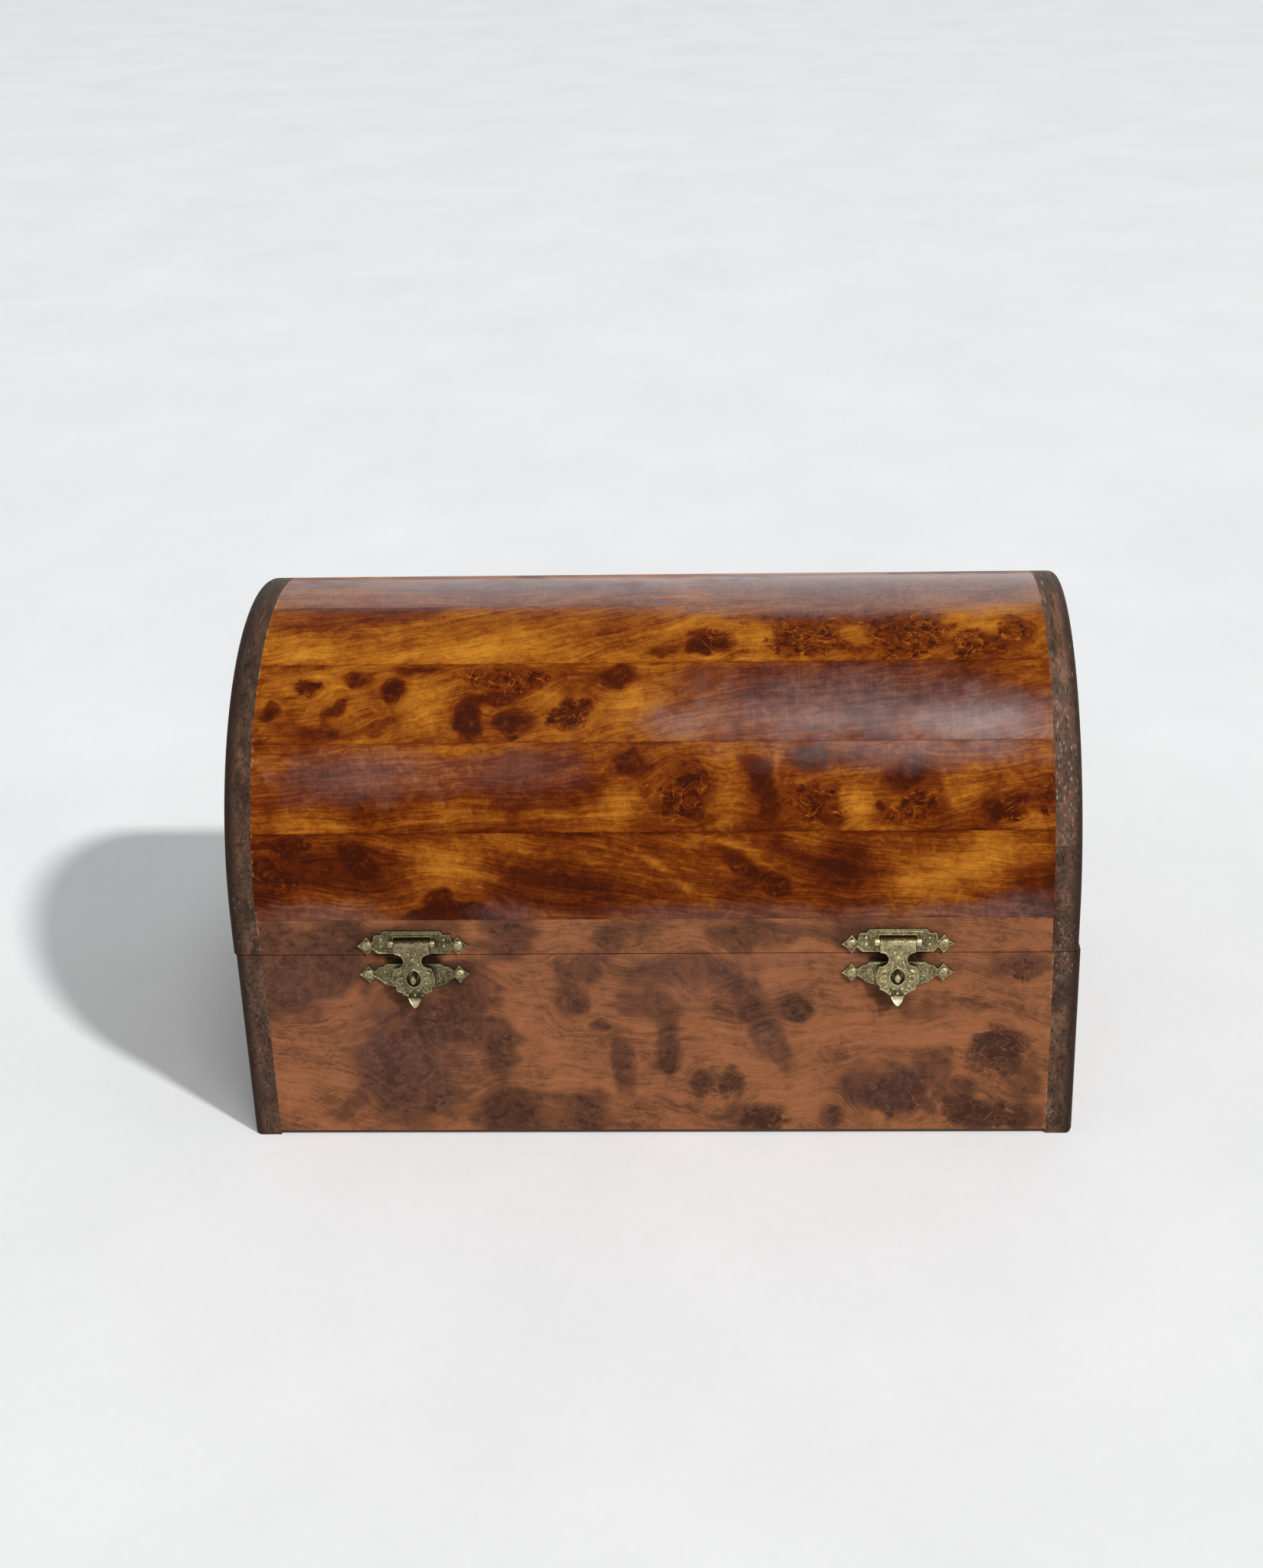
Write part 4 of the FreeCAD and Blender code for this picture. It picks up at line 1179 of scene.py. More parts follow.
def build_flat_veneer(node, name, body, outward, figure, seed, stop_side):
    low, high = corners(node)
    mesh = flat_sheet_mesh(low, high, sizes().sheet_grid / MM, outward)
    if stop_side:
        cut_for_lid_stop(mesh, stop_side)
    piece = finished(mesh, name, body, node, side_burl())
    draw_figure(piece, figure, front_place, Layout.lid_high.z, (high.x - low.x) / 2, seed)


def hasp_painted_shade(middle):
    """The painted shade round the hasp at that x."""
    return [Spot(middle + x, Layout.joint + rise, *rest) for x, rise, *rest in HASP_PAINTED_SHADE]


class BURLBOX_OT_front_veneers(bpy.types.Operator):
    """Matt burl on the front of the case and of the lid, one figure across the cut"""

    bl_idname = "burlbox.front_veneers"
    bl_label = "Front veneers"

    def execute(self, context):
        # The front's figure takes the painted shade round both hasps
        grimes = [spot for side in SIDES for spot in hasp_painted_shade(hasp_middle(side))]
        figure = FRONT_FIGURE._replace(grimes=grimes)
        build_flat_veneer("case_front_veneer", "front_burl_case", "case", -1, figure, FRONT_SEED, 0)
        build_flat_veneer("lid_front_veneer", "front_burl_lid", "lid", -1, figure, FRONT_SEED, 0)
        return {"FINISHED"}


class BURLBOX_OT_back_veneers(bpy.types.Operator):
    """Matt burl on the back, with the sloped edges that stop the lid"""

    bl_idname = "burlbox.back_veneers"
    bl_label = "Back veneers"

    def execute(self, context):
        figure = hidden_figure(HIDDEN_SEED, Layout.lid_high.z, BACK_LEVEL)
        build_flat_veneer("case_back_veneer", "back_burl_case", "case", 1, figure, BACK_SEED, -1)
        build_flat_veneer("lid_back_veneer", "back_burl_lid", "lid", 1, figure, BACK_SEED, 1)
        return {"FINISHED"}


# End boards

def round_outer_edges(mesh, outer_x, flat_z, radius):
    """Round the edges of the outer face, apart from the one that meets the joint."""
    picked = []
    for edge in mesh.edges:
        on_face = all(abs(vert.co.x - outer_x) < SAME_PLACE for vert in edge.verts)
        at_joint = all(abs(vert.co.z - flat_z) < SAME_PLACE for vert in edge.verts)
        if on_face and not at_joint:
            picked.append(edge)
    bevel(mesh, picked, radius, 5, clamp=False)


def case_board_mesh(low, high, outward, radius):
    """An end board of the case, rounded on its outer face and sloped at the back of the joint."""
    mesh = bmesh.new()
    bmesh.ops.create_cube(mesh, size=1.0)
    bmesh.ops.scale(mesh, vec=high - low, verts=mesh.verts)
    bmesh.ops.translate(mesh, vec=(low + high) / 2, verts=mesh.verts)
    round_outer_edges(mesh, high.x if outward > 0 else low.x, high.z, radius)
    cut_for_lid_stop(mesh, -1)
    return mesh


def arch_board_mesh(low_x, high_x, outward, radius, steps):
    """The whole arched end of the lid, before it is cut into its two boards."""
    mesh = bmesh.new()
    inner_x, outer_x = (low_x, high_x) if outward > 0 else (high_x, low_x)
    foot_z = Layout.joint + Layout.half_gap
    spring_vert = mesh.verts.new((inner_x, -Layout.radius, Layout.spring))
    bmesh.ops.spin(mesh, geom=[spring_vert], cent=(inner_x, 0.0, Layout.spring), axis=(1.0, 0.0, 0.0),
                   angle=-math.pi, steps=steps)
    mesh.verts.ensure_lookup_table()
    far_vert = max(mesh.verts, key=lambda vert: (vert.co.y, -vert.co.z))
    feet = [mesh.verts.new((inner_x, y, foot_z)) for y in (-Layout.radius, Layout.radius)]
    mesh.edges.new((spring_vert, feet[0]))
    mesh.edges.new((far_vert, feet[1]))
    mesh.edges.new(feet)
    face = bmesh.ops.contextual_create(mesh, geom=mesh.edges[:])["faces"][0]
    bmesh.ops.translate(mesh, verts=extruded_verts(mesh, [face]), vec=(outer_x - inner_x, 0.0, 0.0))
    bmesh.ops.recalc_face_normals(mesh, faces=mesh.faces)
    round_outer_edges(mesh, outer_x, foot_z, radius)
    cut_for_lid_stop(mesh, 1)
    return mesh


def board_finish(key):
    return finish_for("dark_board_" + key, board_material, *BOARD_LOOKS[key])


class BURLBOX_OT_end_boards(bpy.types.Operator):
    """Dark end boards of the case and the arched ends of the lid"""

    bl_idname = "burlbox.end_boards"
    bl_label = "End boards"

    def execute(self, context):
        s = sizes()
        radius = s.board_round / MM
        for side, outward in zip(SIDES, HALVES):
            node = "case_%s_cheek" % side
            mesh = case_board_mesh(*corners(node), outward, radius)
            finished(mesh, "case_end_board_" + side, "case", node, board_finish("case_" + side))
            low, high = corners("lid_%s_cheek_lower" % side)
            for part, away in (("lower", 1.0), ("upper", -1.0)):
                mesh = arch_board_mesh(low.x, high.x, outward, radius, s.arc_steps)
                slice_off(mesh, (0.0, 0.0, high.z), Vector((0.0, 0.0, away)))
                finished(mesh, "lid_end_board_%s_%s" % (side, part), "lid",
                         "lid_%s_cheek_%s" % (side, part), board_finish("lid_%s_%s" % (side, part)))
        return {"FINISHED"}


# Brass fittings, drawn round each hasp's middle: x across, z up from the joint and y out of the front, in
# millimetres. Outlines and ornaments are listed for the right-hand half, and mirrored.

Bead = collections.namedtuple("Bead", "x z radius rise wide lean", defaults=[1.0, 0.0])
Curl = collections.namedtuple("Curl", "x z bend start sweep thick")
Bar = collections.namedtuple("Bar", "x0 x1 z radius")

SHEET_THICKNESS = 0.8
RIM_SLOPE = 0.7
FRONT_EASE = 0.10
FRONT_TOLERANCE = 0.01
EAR_RADIUS = 1.9
EAR_REACH = 3.1
EAR_POINT_WIDTH = 2.0
EAR_STEPS = 3
NAIL_SPACING = 27.0
NAIL_HEAD_RADIUS = 1.6
NAIL_HEAD_RISE = 0.8
NAIL_SHANK_RADIUS = 0.6
NAIL_SHANK_LENGTH = 6.0
NAIL_PROUD = (-1.0, 3.0)

KNUCKLE_RADIUS = 1.3
KNUCKLE_LENGTH = 10.4
PIVOT_STAND = 1.7
PIVOT_RISE = 4.4
PIN_RADIUS = 0.6
PIN_PROUD = (0.5, 2.0)
POST_RADIUS = 1.2
POST_WIDTH = 1.5
SLOT_HALF = KNUCKLE_LENGTH / 2 + 0.2
SLOT_REACH = KNUCKLE_RADIUS + 0.4
ROD_SEGMENTS = 24
ROD_EASE = 0.15
THIN_SEGMENTS = 10
THIN_EASE = 0.05

PLATE_BELOW_EAR = [(0.0, 0.7), (10.4, 0.7), (11.2, 1.5)]
PLATE_ABOVE_EAR = [(11.2, 6.9), (9.2, 6.9), (8.4, 8.1), (0.0, 8.1)]
PLATE_EAR_RISE = 3.3
PLATE_BEADS = [Bead(9.3, 3.0, 0.55, 0.28), Bead(9.3, 5.2, 0.55, 0.28)]
PLATE_LINE = Bar(-7.6, 7.6, 7.25, 0.17)
PLATE_LINE_RISE = 0.02
PLATE_PROUD = (0.50, 0.90)

KEEPER_BELOW_EAR = [(0.0, -12.4), (9.2, -9.4), (10.2, -8.4)]
KEEPER_ABOVE_EAR = [(10.2, -3.7), (9.2, -3.7), (8.2, -2.7), (0.0, -2.7)]
KEEPER_EAR_RISE = -6.2
KEEPER_ORNAMENTS = [
    Curl(8.2, -6.4, 1.15, 60.0, 200.0, 0.26), Bead(7.0, -8.4, 0.42, 0.3, 1.8, 20.0),
    Bar(4.6, 7.8, -3.35, 0.2),
]
KEEPER_PROUD = (0.3, 1.1)

STRAP_FRONT = PIVOT_STAND + KNUCKLE_RADIUS
STRAP_THICKNESS = 0.9
TONGUE_BELOW_NECK = [
    (0.0, -16.4), (0.55, -16.05), (1.25, -15.1), (2.15, -13.1), (2.5, -12.75), (3.9, -11.35), (5.3, -10.8),
    (5.3, -9.3), (6.2, -8.4), (6.35, -6.8), (6.2, -5.3), (5.55, -3.4),
]
TONGUE_NOTCH = (5.0, -0.8, 2.3, 280.0, 90.0, 12)
TONGUE_ABOVE_NECK = [(5.2, 1.5), (5.2, 4.4), (0.0, 4.4)]
TONGUE_BEND_DROP = 13.0
TONGUE_TIP_ANGLE = 28.0
TONGUE_PROUD = (STRAP_FRONT - 0.44, STRAP_FRONT + 0.08)
TONGUE_MIDDLE_BEADS = [Bead(0.0, -0.4, 0.72, 0.42), Bead(0.0, -12.2, 0.5, 0.35)]
TONGUE_ORNAMENTS = [
    Bead(0.9, 1.2, 0.34, 0.3, 2.4, 58.0), Bead(1.8, -2.2, 0.30, 0.32, 3.0, -62.0),
    Bead(4.3, -4.7, 0.42, 0.40, 2.4, -24.0), Bead(1.2, -10.6, 0.42, 0.34),
    Bead(2.2, -12.2, 0.34, 0.28, 1.6, 30.0),
    Curl(4.1, -7.2, 1.05, 130.0, -250.0, 0.27), Curl(3.3, -10.4, 0.80, 100.0, -230.0, 0.24),
]
CURL_END = 1.35

WINDOW = (0.0, -6.6, 4.4, 5.6, 6)
STUD = (0.0, -6.6, 1.7, 3.0, 5)
STUD_FRONT = STRAP_FRONT + 1.0
STUD_ROOT = -1.0
STUD_BEAD = Bead(0.0, -6.6, 0.62, 0.42, 0.8)
STUD_BEAD_OUT = STRAP_FRONT + 0.85
STUD_PROUD = (1.0, 4.2)

BRASS_GLOSS = 0.30

# A painted highlight keeps the tip of a tongue bright, and painted shade lies in the crease above it
NO_TIP = -1000.0
TIP_HIGHLIGHT = 0.75
TIP_FADE = 0.5
CREASE_SHADE = 0.9
CREASE_RISE = 0.25
CREASE_WIDTH = 0.28


def arc_points(x, z, radius, start, end, steps):
    """Points on an arc, angles in degrees, counter-clockwise from +X."""
    points = []
    for step in range(steps + 1):
        angle = math.radians(start + (end - start) * step / steps)
        points.append((x + radius * math.cos(angle), z + radius * math.sin(angle)))
    return points


def ear_outline(z):
    """The right-hand ear from its lower root round to its upper root, with three small points."""
    x = NAIL_SPACING / 2
    half = math.degrees(math.asin(EAR_POINT_WIDTH / 2 / EAR_RADIUS))
    outline = []
    for heading in (270.0, 360.0, 450.0):
        outline += arc_points(x, z, EAR_RADIUS, heading - 90.0 + half, heading - half, EAR_STEPS)
        tip = math.radians(heading)
        outline.append((x + EAR_REACH * math.cos(tip), z + EAR_REACH * math.sin(tip)))
    return outline + arc_points(x, z, EAR_RADIUS, 90.0 + half, 180.0 - half, EAR_STEPS)


def whole_outline(right_half):
    """A closed outline from its right half, listed from the bottom middle to the top middle."""
    return right_half + [(-x, z) for x, z in reversed(right_half) if x > SAME_PLACE]


def pointed_oval(x, z, width, height, steps):
    """An upright oval with a point at its top and bottom, as an outline."""
    radius = ((height / 2) ** 2 + (width / 2) ** 2) / width
    half = math.degrees(math.asin(height / 2 / radius))
    right = arc_points(x + width / 2 - radius, z, radius, -half, half, steps)
    left = arc_points(x - width / 2 + radius, z, radius, 180.0 - half, 180.0 + half, steps)
    return right[:-1] + left[:-1]


def pierced_slab(loops, front, back):
    """A flat slab from outlines, holes after the first."""
    mesh = bmesh.new()
    for loop in loops:
        verts = [mesh.verts.new((x, -front, z)) for x, z in loop]
        for first, second in zip(verts, verts[1:] + verts[:1]):
            mesh.edges.new((first, second))
    bmesh.ops.triangle_fill(mesh, use_beauty=True, edges=mesh.edges[:], normal=(0.0, -1.0, 0.0))
    bmesh.ops.recalc_face_normals(mesh, faces=mesh.faces)
    if mesh.faces[:][0].normal.y > 0.0:
        bmesh.ops.reverse_faces(mesh, faces=mesh.faces)
    moved = extruded_verts(mesh, mesh.faces[:], keep=True)
    bmesh.ops.translate(mesh, verts=moved, vec=(0.0, front - back, 0.0))
    bmesh.ops.recalc_face_normals(mesh, faces=mesh.faces)
    return mesh


def raise_rim(mesh, rim, relief):
    """Leave a raised rim round the front of a slab and sink the field inside it."""
    front_faces = [face for face in mesh.faces if face.normal.y < -0.9]
    for thickness, depth in ((rim, 0.0), (relief * RIM_SLOPE, -relief)):
        bmesh.ops.inset_region(mesh, faces=[face for face in front_faces if face.is_valid],
                               use_boundary=True, use_even_offset=True, thickness=thickness, depth=depth)


def bend_tip(mesh, bend_z, pivot_y, angle):
    """Fold the part below bend_z outwards about a line along X."""
    bmesh.ops.bisect_plane(mesh, geom=everything(mesh), dist=CUT_TOLERANCE,
                           plane_co=(0.0, 0.0, bend_z), plane_no=(0.0, 0.0, 1.0))
    below = [vert for vert in mesh.verts if vert.co.z < bend_z - SAME_PLACE]
    bmesh.ops.rotate(mesh, cent=(0.0, pivot_y, bend_z), matrix=Matrix.Rotation(-angle, 3, "X"), verts=below)


def stamped_sheet(loops, front, back, rim=0.0, relief=0.0, tip_bend=None):
    """A brass sheet from outlines: raised rim, sunk field, eased front edges."""
    mesh = pierced_slab(loops, front, back)
    if rim > 0.0:
        raise_rim(mesh, rim, relief)
    if tip_bend:
        bend_tip(mesh, *tip_bend)
    edges = [edge for edge in filter(is_corner, mesh.edges)
             if all(abs(vert.co.y + front) < FRONT_TOLERANCE for vert in edge.verts)]
    bevel(mesh, edges, FRONT_EASE, 2)
    return mesh


def bead(mesh, x, z, out, radius, rise, wide=1.0, lean=0.0):
    """A raised dot, or a leaf when it is wider than tall."""
    made = bmesh.ops.create_uvsphere(mesh, u_segments=16, v_segments=10, radius=radius)
    turn = Matrix.Rotation(math.radians(-lean), 4, "Y")
    shape = Matrix.Diagonal((wide, rise / radius, 1.0, 1.0))
    bmesh.ops.transform(mesh, matrix=Matrix.Translation((x, -out, z)) @ turn @ shape, verts=made["verts"])


def edges_of(verts):
    """The edges that meet those vertices, each once and in a fixed order."""
    return list(dict.fromkeys(edge for vert in verts for edge in vert.link_edges))


def scroll(mesh, x, z, out, bend, start, sweep, thick, steps=12):
    """A raised curl: a small round section spun about a centre on the sheet, with a bead at each end."""
    ring = bmesh.ops.create_circle(mesh, segments=8, radius=thick, cap_ends=False)["verts"]
    place = Matrix.Translation((x, -out, z)) @ Matrix.Rotation(-math.radians(start), 4, "Y")
    bmesh.ops.transform(mesh, matrix=place @ Matrix.Translation((bend, 0.0, 0.0)), verts=ring)
    bmesh.ops.spin(mesh, geom=ring + edges_of(ring), cent=(x, -out, z), axis=(0.0, 1.0, 0.0),
                   angle=-math.radians(sweep), steps=steps)
    bmesh.ops.holes_fill(mesh, edges=[edge for edge in mesh.edges if edge.is_boundary], sides=0)
    knob = thick * CURL_END
    for heading in (start, start + sweep):
        turn = math.radians(heading)
        bead(mesh, x + bend * math.cos(turn), z + bend * math.sin(turn), out, knob, knob)


def rod(mesh, ends, out, z, radius, segments=ROD_SEGMENTS, eased=ROD_EASE):
    """A bar along X with eased ends."""
    x0, x1 = sorted(ends)
    made = bmesh.ops.create_cone(mesh, cap_ends=True, segments=segments, radius1=radius, radius2=radius,
                                 depth=x1 - x0)["verts"]
    place = Matrix.Translation(((x0 + x1) / 2, -out, z)) @ Matrix.Rotation(RIGHT_ANGLE, 4, "Y")
    bmesh.ops.transform(mesh, matrix=place, verts=made)
    bevel(mesh, [edge for edge in edges_of(made) if is_corner(edge)], eased, 3)


def stamp(mesh, out, ornaments, outward=1):
    """Raise ornaments on one half of a plate."""
    turn = 0.0 if outward > 0 else 180.0
    for item in ornaments:
        if isinstance(item, Bead):
            bead(mesh, outward * item.x, item.z, out, item.radius, item.rise, item.wide, outward * item.lean)
        elif isinstance(item, Curl):
            scroll(mesh, outward * item.x, item.z, out, item.bend, turn + outward * item.start,
                   outward * item.sweep, item.thick)
        else:
            ends = (outward * item.x0, outward * item.x1)
            rod(mesh, ends, out, item.z, item.radius, THIN_SEGMENTS, THIN_EASE)


def mark_proud(piece, low, high, tip_z):
    """Say how far each vertex stands out, from 0 at low to 1 at high millimetres from the front.
    Below tip_z a painted highlight keeps the brass bright, and a painted shade runs across just above it."""
    spots = values_of(piece.data.vertices)
    out = Layout.front_y - spots[:, 1]
    proud = np.clip((out - low) / (high - low), 0.0, 1.0)
    # A painted highlight on the bent tip, and painted shade in the crease just above it
    proud += TIP_HIGHLIGHT * smooth_step(tip_z, tip_z - TIP_FADE, spots[:, 2])
    proud -= CREASE_SHADE * np.exp(-((spots[:, 2] - tip_z - CREASE_RISE) / CREASE_WIDTH) ** 2)
    write_attribute(piece.data, "proud", "FLOAT", "value", [proud])


def brass_piece(mesh, middle, name, body, node, proud, tip_z=NO_TIP):
    """Move a fitting to its place on the box and finish it in its side's brass."""
    bmesh.ops.translate(mesh, vec=(middle, Layout.front_y, Layout.joint), verts=mesh.verts)
    side = SIDES[0] if middle < 0.0 else SIDES[1]
    # Each side gets its own brass, painted lighter on the right and darker on the left
    brass = finish_for("stamped_brass_" + side, brass_material, BRASS_GLOSS, HASP_PAINTED_LIGHT[side])
    piece = finished(mesh, name, body, node, brass, weld=FINE_WELD)
    mark_proud(piece, *proud, tip_z)


def hasp_plate_mesh(rim, relief):
    """The lid's plate, with its slot, two posts and stamped field."""
    right = PLATE_BELOW_EAR + ear_outline(PLATE_EAR_RISE) + PLATE_ABOVE_EAR
    low = PIVOT_RISE - SLOT_REACH
    high = PIVOT_RISE + SLOT_REACH
    slot = [(-SLOT_HALF, low), (SLOT_HALF, low), (SLOT_HALF, high), (-SLOT_HALF, high)]
    mesh = stamped_sheet([whole_outline(right), slot], SHEET_THICKNESS, 0.0, rim, relief)
    field = SHEET_THICKNESS - relief
    for outward in HALVES:
        ends = (outward * SLOT_HALF, outward * (SLOT_HALF + POST_WIDTH))
        rod(mesh, ends, PIVOT_STAND, PIVOT_RISE, POST_RADIUS)
        stamp(mesh, field, PLATE_BEADS, outward)
    stamp(mesh, field + PLATE_LINE_RISE, [PLATE_LINE])
    return mesh


def tongue_mesh(rim, relief):
    """The swinging tongue: knuckle, neck, pierced body with curls and the bent finger tip."""
    right = TONGUE_BELOW_NECK + arc_points(*TONGUE_NOTCH) + TONGUE_ABOVE_NECK
    back = STRAP_FRONT - STRAP_THICKNESS
    bend = (-TONGUE_BEND_DROP, -back, math.radians(TONGUE_TIP_ANGLE))
    mesh = stamped_sheet([whole_outline(right), pointed_oval(*WINDOW)], STRAP_FRONT, back, rim, relief, bend)
    rod(mesh, (-KNUCKLE_LENGTH / 2, KNUCKLE_LENGTH / 2), PIVOT_STAND, PIVOT_RISE, KNUCKLE_RADIUS)
    stamp(mesh, STRAP_FRONT - relief, TONGUE_MIDDLE_BEADS)
    for outward in HALVES:
        stamp(mesh, STRAP_FRONT - relief, TONGUE_ORNAMENTS, outward)
    return mesh


def keeper_mesh(rim, relief):
    """The case's plate: shoulders, ears and a pointed foot."""
    right = KEEPER_BELOW_EAR + ear_outline(KEEPER_EAR_RISE) + KEEPER_ABOVE_EAR
    mesh = stamped_sheet([whole_outline(right)], SHEET_THICKNESS, 0.0, rim, relief)
    for outward in HALVES:
        stamp(mesh, SHEET_THICKNESS - relief, KEEPER_ORNAMENTS, outward)
    return mesh


def stud_mesh():
    """The pointed stud that the tongue's window drops over."""
    mesh = stamped_sheet([pointed_oval(*STUD)], STUD_FRONT, STUD_ROOT)
    stamp(mesh, STUD_BEAD_OUT, [STUD_BEAD])
    return mesh


def pin_mesh():
    """The bright bar that the tongue hangs from."""
    mesh = bmesh.new()
    reach = SLOT_HALF + POST_WIDTH
    rod(mesh, (-reach, reach), PIVOT_STAND, PIVOT_RISE, PIN_RADIUS)
    return mesh


def add_nail(mesh, x, z):
    """One round head with its shank."""
    head = bmesh.ops.create_uvsphere(mesh, u_segments=20, v_segments=12, radius=NAIL_HEAD_RADIUS)
    flat = Matrix.Diagonal((1.0, NAIL_HEAD_RISE / NAIL_HEAD_RADIUS, 1.0, 1.0))
    bmesh.ops.transform(mesh, matrix=Matrix.Translation((x, -SHEET_THICKNESS, z)) @ flat, verts=head["verts"])
    shank = bmesh.ops.create_cone(mesh, cap_ends=True, segments=12, radius1=NAIL_SHANK_RADIUS,
                                  radius2=NAIL_SHANK_RADIUS, depth=NAIL_SHANK_LENGTH)
    place = Matrix.Translation((x, NAIL_SHANK_LENGTH / 2, z)) @ Matrix.Rotation(RIGHT_ANGLE, 4, "X")
    bmesh.ops.transform(mesh, matrix=place, verts=shank["verts"])


def build_nails(node, name, body, rise):
    mesh = bmesh.new()
    for side in SIDES:
        for outward in HALVES:
            add_nail(mesh, hasp_middle(side) + outward * NAIL_SPACING / 2, rise)
    brass_piece(mesh, 0.0, name, body, node, NAIL_PROUD)


class BURLBOX_OT_hasps(bpy.types.Operator):
    """Lid plates, pins, tongues and their nails"""

    bl_idname = "burlbox.hasps"
    bl_label = "Hasps"

    def execute(self, context):
        s = sizes()
        rim = s.brass_rim / MM
        relief = s.brass_relief / MM
        tip_z = Layout.joint - TONGUE_BEND_DROP
        for side in SIDES:
            middle = hasp_middle(side)
            node = "hasp_%s_" % side
            brass_piece(hasp_plate_mesh(rim, relief), middle, "hasp_plate_" + side, "lid", node + "plate",
                        PLATE_PROUD)
            brass_piece(tongue_mesh(rim, relief), middle, "hasp_tongue_" + side, side + "_tongue",
                        node + "tongue", TONGUE_PROUD, tip_z)
            brass_piece(pin_mesh(), middle, "hasp_pin_" + side, "lid", node + "pin", PIN_PROUD)
        build_nails("hasp_nails", "lid_hasp_nails", "lid", PLATE_EAR_RISE)
        return {"FINISHED"}


class BURLBOX_OT_keepers(bpy.types.Operator):
    """Case plates, studs and their nails"""

    bl_idname = "burlbox.keepers"
    bl_label = "Keepers"

    def execute(self, context):
        s = sizes()
        for side in SIDES:
            middle = hasp_middle(side)
            plate = keeper_mesh(s.brass_rim / MM, s.brass_relief / MM)
            node = "keeper_%s_" % side
            brass_piece(plate, middle, "keeper_plate_" + side, "case", node + "plate", KEEPER_PROUD)
            brass_piece(stud_mesh(), middle, "keeper_stud_" + side, "case", node + "stud", STUD_PROUD)
        build_nails("keeper_nails", "case_keeper_nails", "case", KEEPER_EAR_RISE)
        return {"FINISHED"}


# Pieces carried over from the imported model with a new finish

CORE_ROUGHNESS = 0.62
BOTTOM_ROUGHNESS = 0.66


def dress_nodes(names, material):
    for name in names:
        dress(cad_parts[name], material)


class BURLBOX_OT_inner_woods(bpy.types.Operator):
    """Staves, panels, rails and the bottom board"""

    bl_idname = "burlbox.inner_woods"
    bl_label = "Inner woods"

    def execute(self, context):
        c = colours()
        names = ["case_front_panel", "case_back_panel", "lid_front_rail", "lid_back_rail"]
        names += ["lid_stave_%d" % number for number in range(1, STRIP_COUNT + 1)]
        dress_nodes(names, finish_for("bare_core_wood", plain_wood_material, c.core, CORE_ROUGHNESS))
        bottom = finish_for("stained_bottom_wood", plain_wood_material, c.bottom, BOTTOM_ROUGHNESS)
        dress_nodes(["bottom_board"], bottom)
        return {"FINISHED"}


class BURLBOX_OT_hinges(bpy.types.Operator):
    """Rear hinges with their pins and screws"""

    bl_idname = "burlbox.hinges"
    bl_label = "Hinges"

    def execute(self, context):
        names = ["case_hinge_screws", "lid_hinge_screws"]
        names += ["hinge_%s_%s" % (side, part) for side in SIDES for part in ("case_leaf", "lid_leaf", "pin")]
        dress_nodes(names, finish_for("brushed_hinge_brass", plain_brass_material))
        return {"FINISHED"}


# Stage

FLOOR_SIZE = 16.0
SENSOR_WIDTH = 36.0
VIEW_END = 50.0
CAMERA_TARGET = Vector((16.79, -76.0, 117.24)) * MM
CAMERA_DISTANCE = 652.56 * MM
CAMERA_PITCH = math.radians(24.13)
CAMERA_YAW = math.radians(-1.99)
CAMERA_ROLL = math.radians(-1.2)
CAMERA_SHIFT = -0.0488
LIGHT_TRAVEL = Vector((-0.546, 0.480, -0.687))
SOFT_BOX_PLACE = Vector((0.720, -2.250, 4.400))
SOFT_BOX_AIM = Vector((0.060, -0.040, 0.110))
ROOM_COLOUR = (0.97, 0.985, 1.0, 1.0)


def add_to_stage(name, data):
    made = bpy.data.objects.new(name, data)
    bpy.context.scene.collection.objects.link(made)
    return made


def camera_turn():
    """The way the camera looks, and its axes as a rotation: right, up and backwards."""
    forward = Vector((
        math.sin(CAMERA_YAW) * math.cos(CAMERA_PITCH), math.cos(CAMERA_YAW) * math.cos(CAMERA_PITCH),
        -math.sin(CAMERA_PITCH)))
    level = Vector((math.cos(CAMERA_YAW), -math.sin(CAMERA_YAW), 0.0))
    above = level.cross(forward)
    right = level * math.cos(CAMERA_ROLL) + above * math.sin(CAMERA_ROLL)
    up = above * math.cos(CAMERA_ROLL) - level * math.sin(CAMERA_ROLL)
    return forward, Matrix((right, up, -forward)).transposed()


def build_camera():
    data = bpy.data.cameras.new("view")
    data.lens = stage_values().lens
    data.sensor_width = SENSOR_WIDTH
    data.shift_x = CAMERA_SHIFT
    data.clip_end = VIEW_END
    camera = add_to_stage("view", data)
    forward, turn = camera_turn()
    camera.matrix_world = Matrix.Translation(CAMERA_TARGET - forward * CAMERA_DISTANCE) @ turn.to_4x4()
    bpy.context.scene.camera = camera


def build_floor():
    mesh = bmesh.new()
    bmesh.ops.create_grid(mesh, x_segments=8, y_segments=8, size=FLOOR_SIZE / 2)
    floor = linked_object("floor", mesh)
    dress(floor, floor_material())


def aim(lamp, direction):
    lamp.rotation_euler = direction.to_track_quat("-Z", "Y").to_euler()


def build_lights():
    values = stage_values()
    sun = bpy.data.lights.new("key", "SUN")
    sun.energy = values.key_strength
    sun.angle = values.key_spread
    aim(add_to_stage("key", sun), LIGHT_TRAVEL)
    soft = bpy.data.lights.new("soft_box", "AREA")
    soft.energy = values.box_power
    soft.size = values.box_size
    lamp = add_to_stage("soft_box", soft)
    lamp.location = SOFT_BOX_PLACE
    aim(lamp, SOFT_BOX_AIM - SOFT_BOX_PLACE)


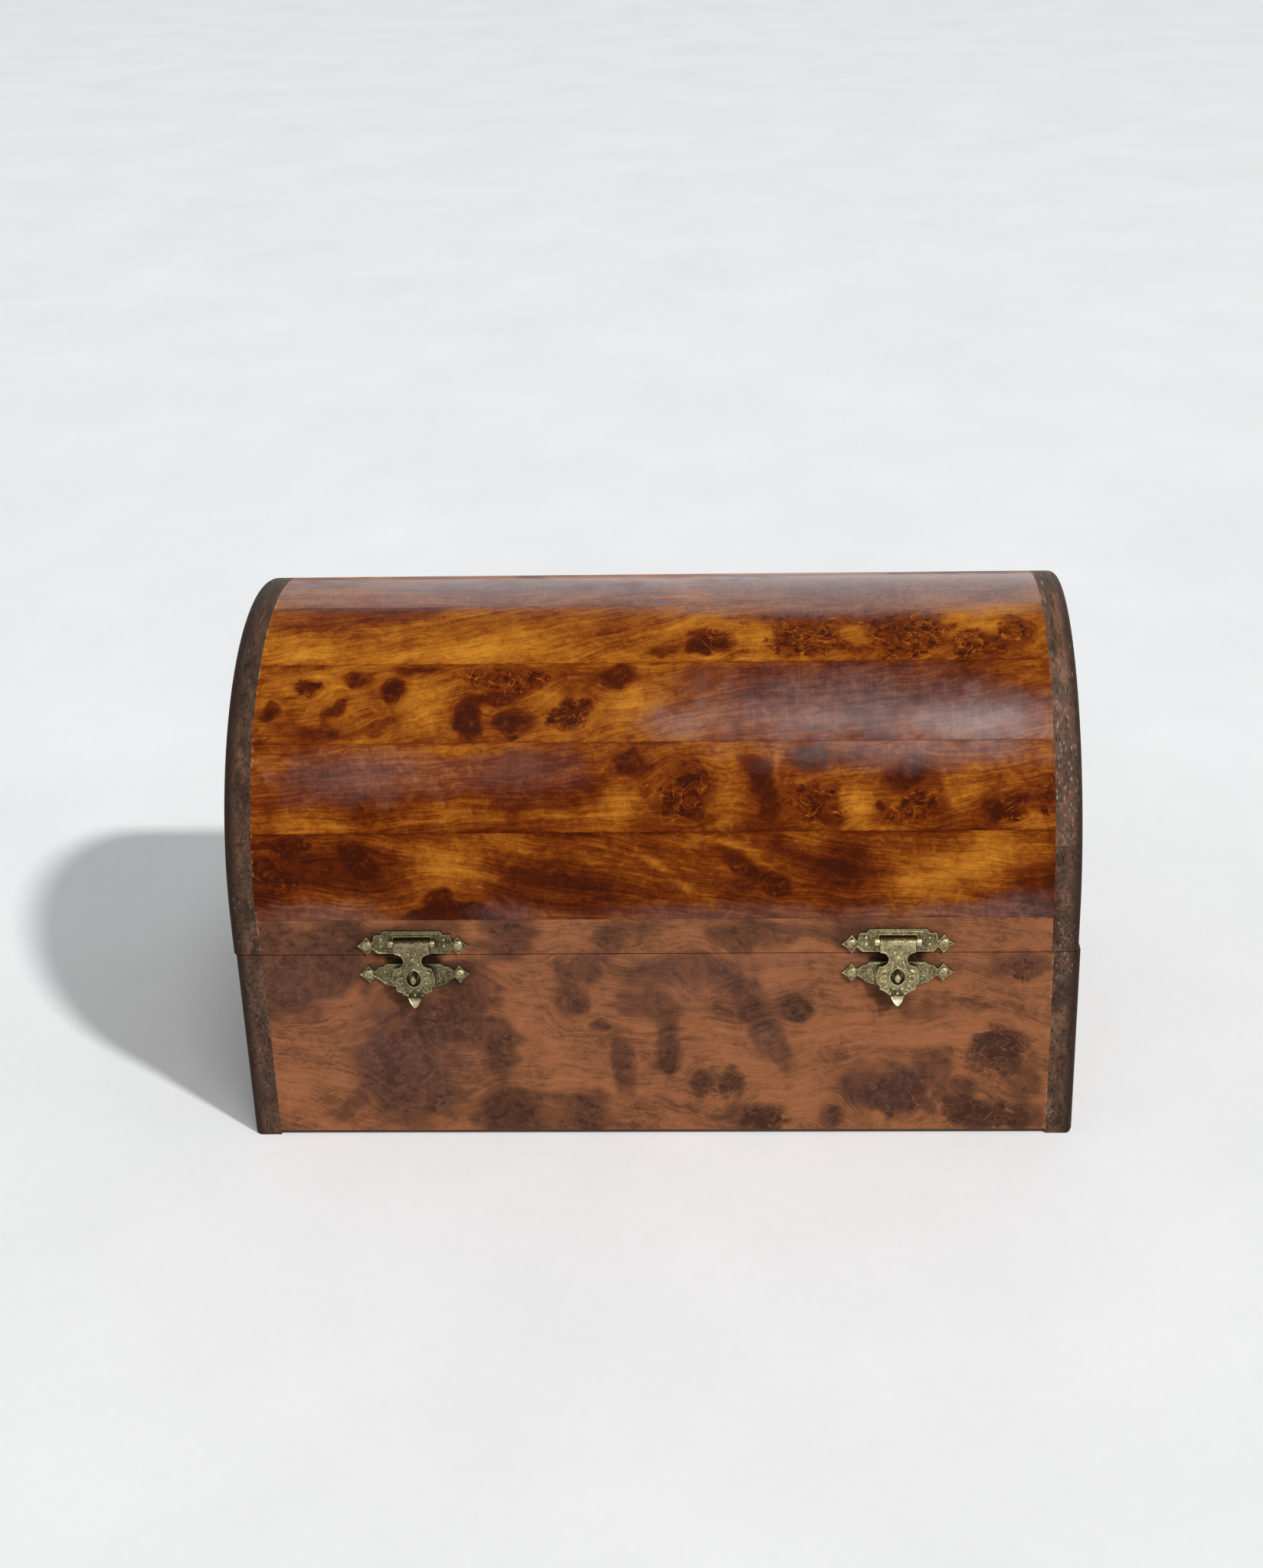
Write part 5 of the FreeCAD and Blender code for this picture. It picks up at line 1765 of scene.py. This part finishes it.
def build_world():
    """A pale room: white where it is seen or mirrored, dimmer as a light."""
    world = bpy.data.worlds.new("pale_room")
    bpy.context.scene.world = world
    g = Graph(world, "Background")
    ray = g.node("ShaderNodeLightPath").outputs
    seen = g.larger(g.larger(ray["Is Camera Ray"], ray["Is Glossy Ray"]), ray["Is Transmission Ray"])
    levels = {"Value": seen, "To Min": stage_values().sky_strength, "To Max": 1.0}
    g.surface(Color=ROOM_COLOUR, Strength=g.node("ShaderNodeMapRange", levels).outputs[0])


class BURLBOX_OT_stage(bpy.types.Operator):
    """Floor, light, pale room and camera"""

    bl_idname = "burlbox.stage"
    bl_label = "Stage"

    def execute(self, context):
        context.scene.view_settings.view_transform = "Standard"
        build_camera()
        build_floor()
        build_lights()
        build_world()
        return {"FINISHED"}


OPERATORS = (
    BURLBOX_OT_stage, BURLBOX_OT_dome_strips, BURLBOX_OT_front_veneers, BURLBOX_OT_back_veneers,
    BURLBOX_OT_end_boards, BURLBOX_OT_hasps, BURLBOX_OT_keepers, BURLBOX_OT_inner_woods, BURLBOX_OT_hinges,
)


class BURLBOX_PT_panel(bpy.types.Panel):
    """Lists the pieces of the box and the values that may be changed"""

    bl_idname = "BURLBOX_PT_panel"
    bl_label = "Burl Box"
    bl_space_type = "VIEW_3D"
    bl_region_type = "UI"
    bl_category = "Burl Box"

    def draw(self, context):
        for operator in OPERATORS:
            self.layout.operator(operator.bl_idname)
        for group in (sizes(), colours(), stage_values()):
            box = self.layout.box()
            for name in group.bl_rna.properties.keys():
                if name not in {"rna_type", "name"}:
                    box.prop(group, name)


GROUPS = (BoxSizes, BoxColours, BoxStage)


def register():
    for item in GROUPS + OPERATORS + (BURLBOX_PT_panel,):
        bpy.utils.register_class(item)
    bpy.types.Scene.burl_box_sizes = PointerProperty(type=BoxSizes)
    bpy.types.Scene.burl_box_colours = PointerProperty(type=BoxColours)
    bpy.types.Scene.burl_box_stage = PointerProperty(type=BoxStage)


def unregister():
    del bpy.types.Scene.burl_box_sizes
    del bpy.types.Scene.burl_box_colours
    del bpy.types.Scene.burl_box_stage
    for item in reversed(GROUPS + OPERATORS + (BURLBOX_PT_panel,)):
        bpy.utils.unregister_class(item)


def main():
    register()
    bpy.ops.burlbox.stage()
    bpy.ops.burlbox.dome_strips()
    bpy.ops.burlbox.front_veneers()
    bpy.ops.burlbox.back_veneers()
    bpy.ops.burlbox.end_boards()
    bpy.ops.burlbox.hasps()
    bpy.ops.burlbox.keepers()
    bpy.ops.burlbox.inner_woods()
    bpy.ops.burlbox.hinges()


if __name__ == "__main__":
    main()
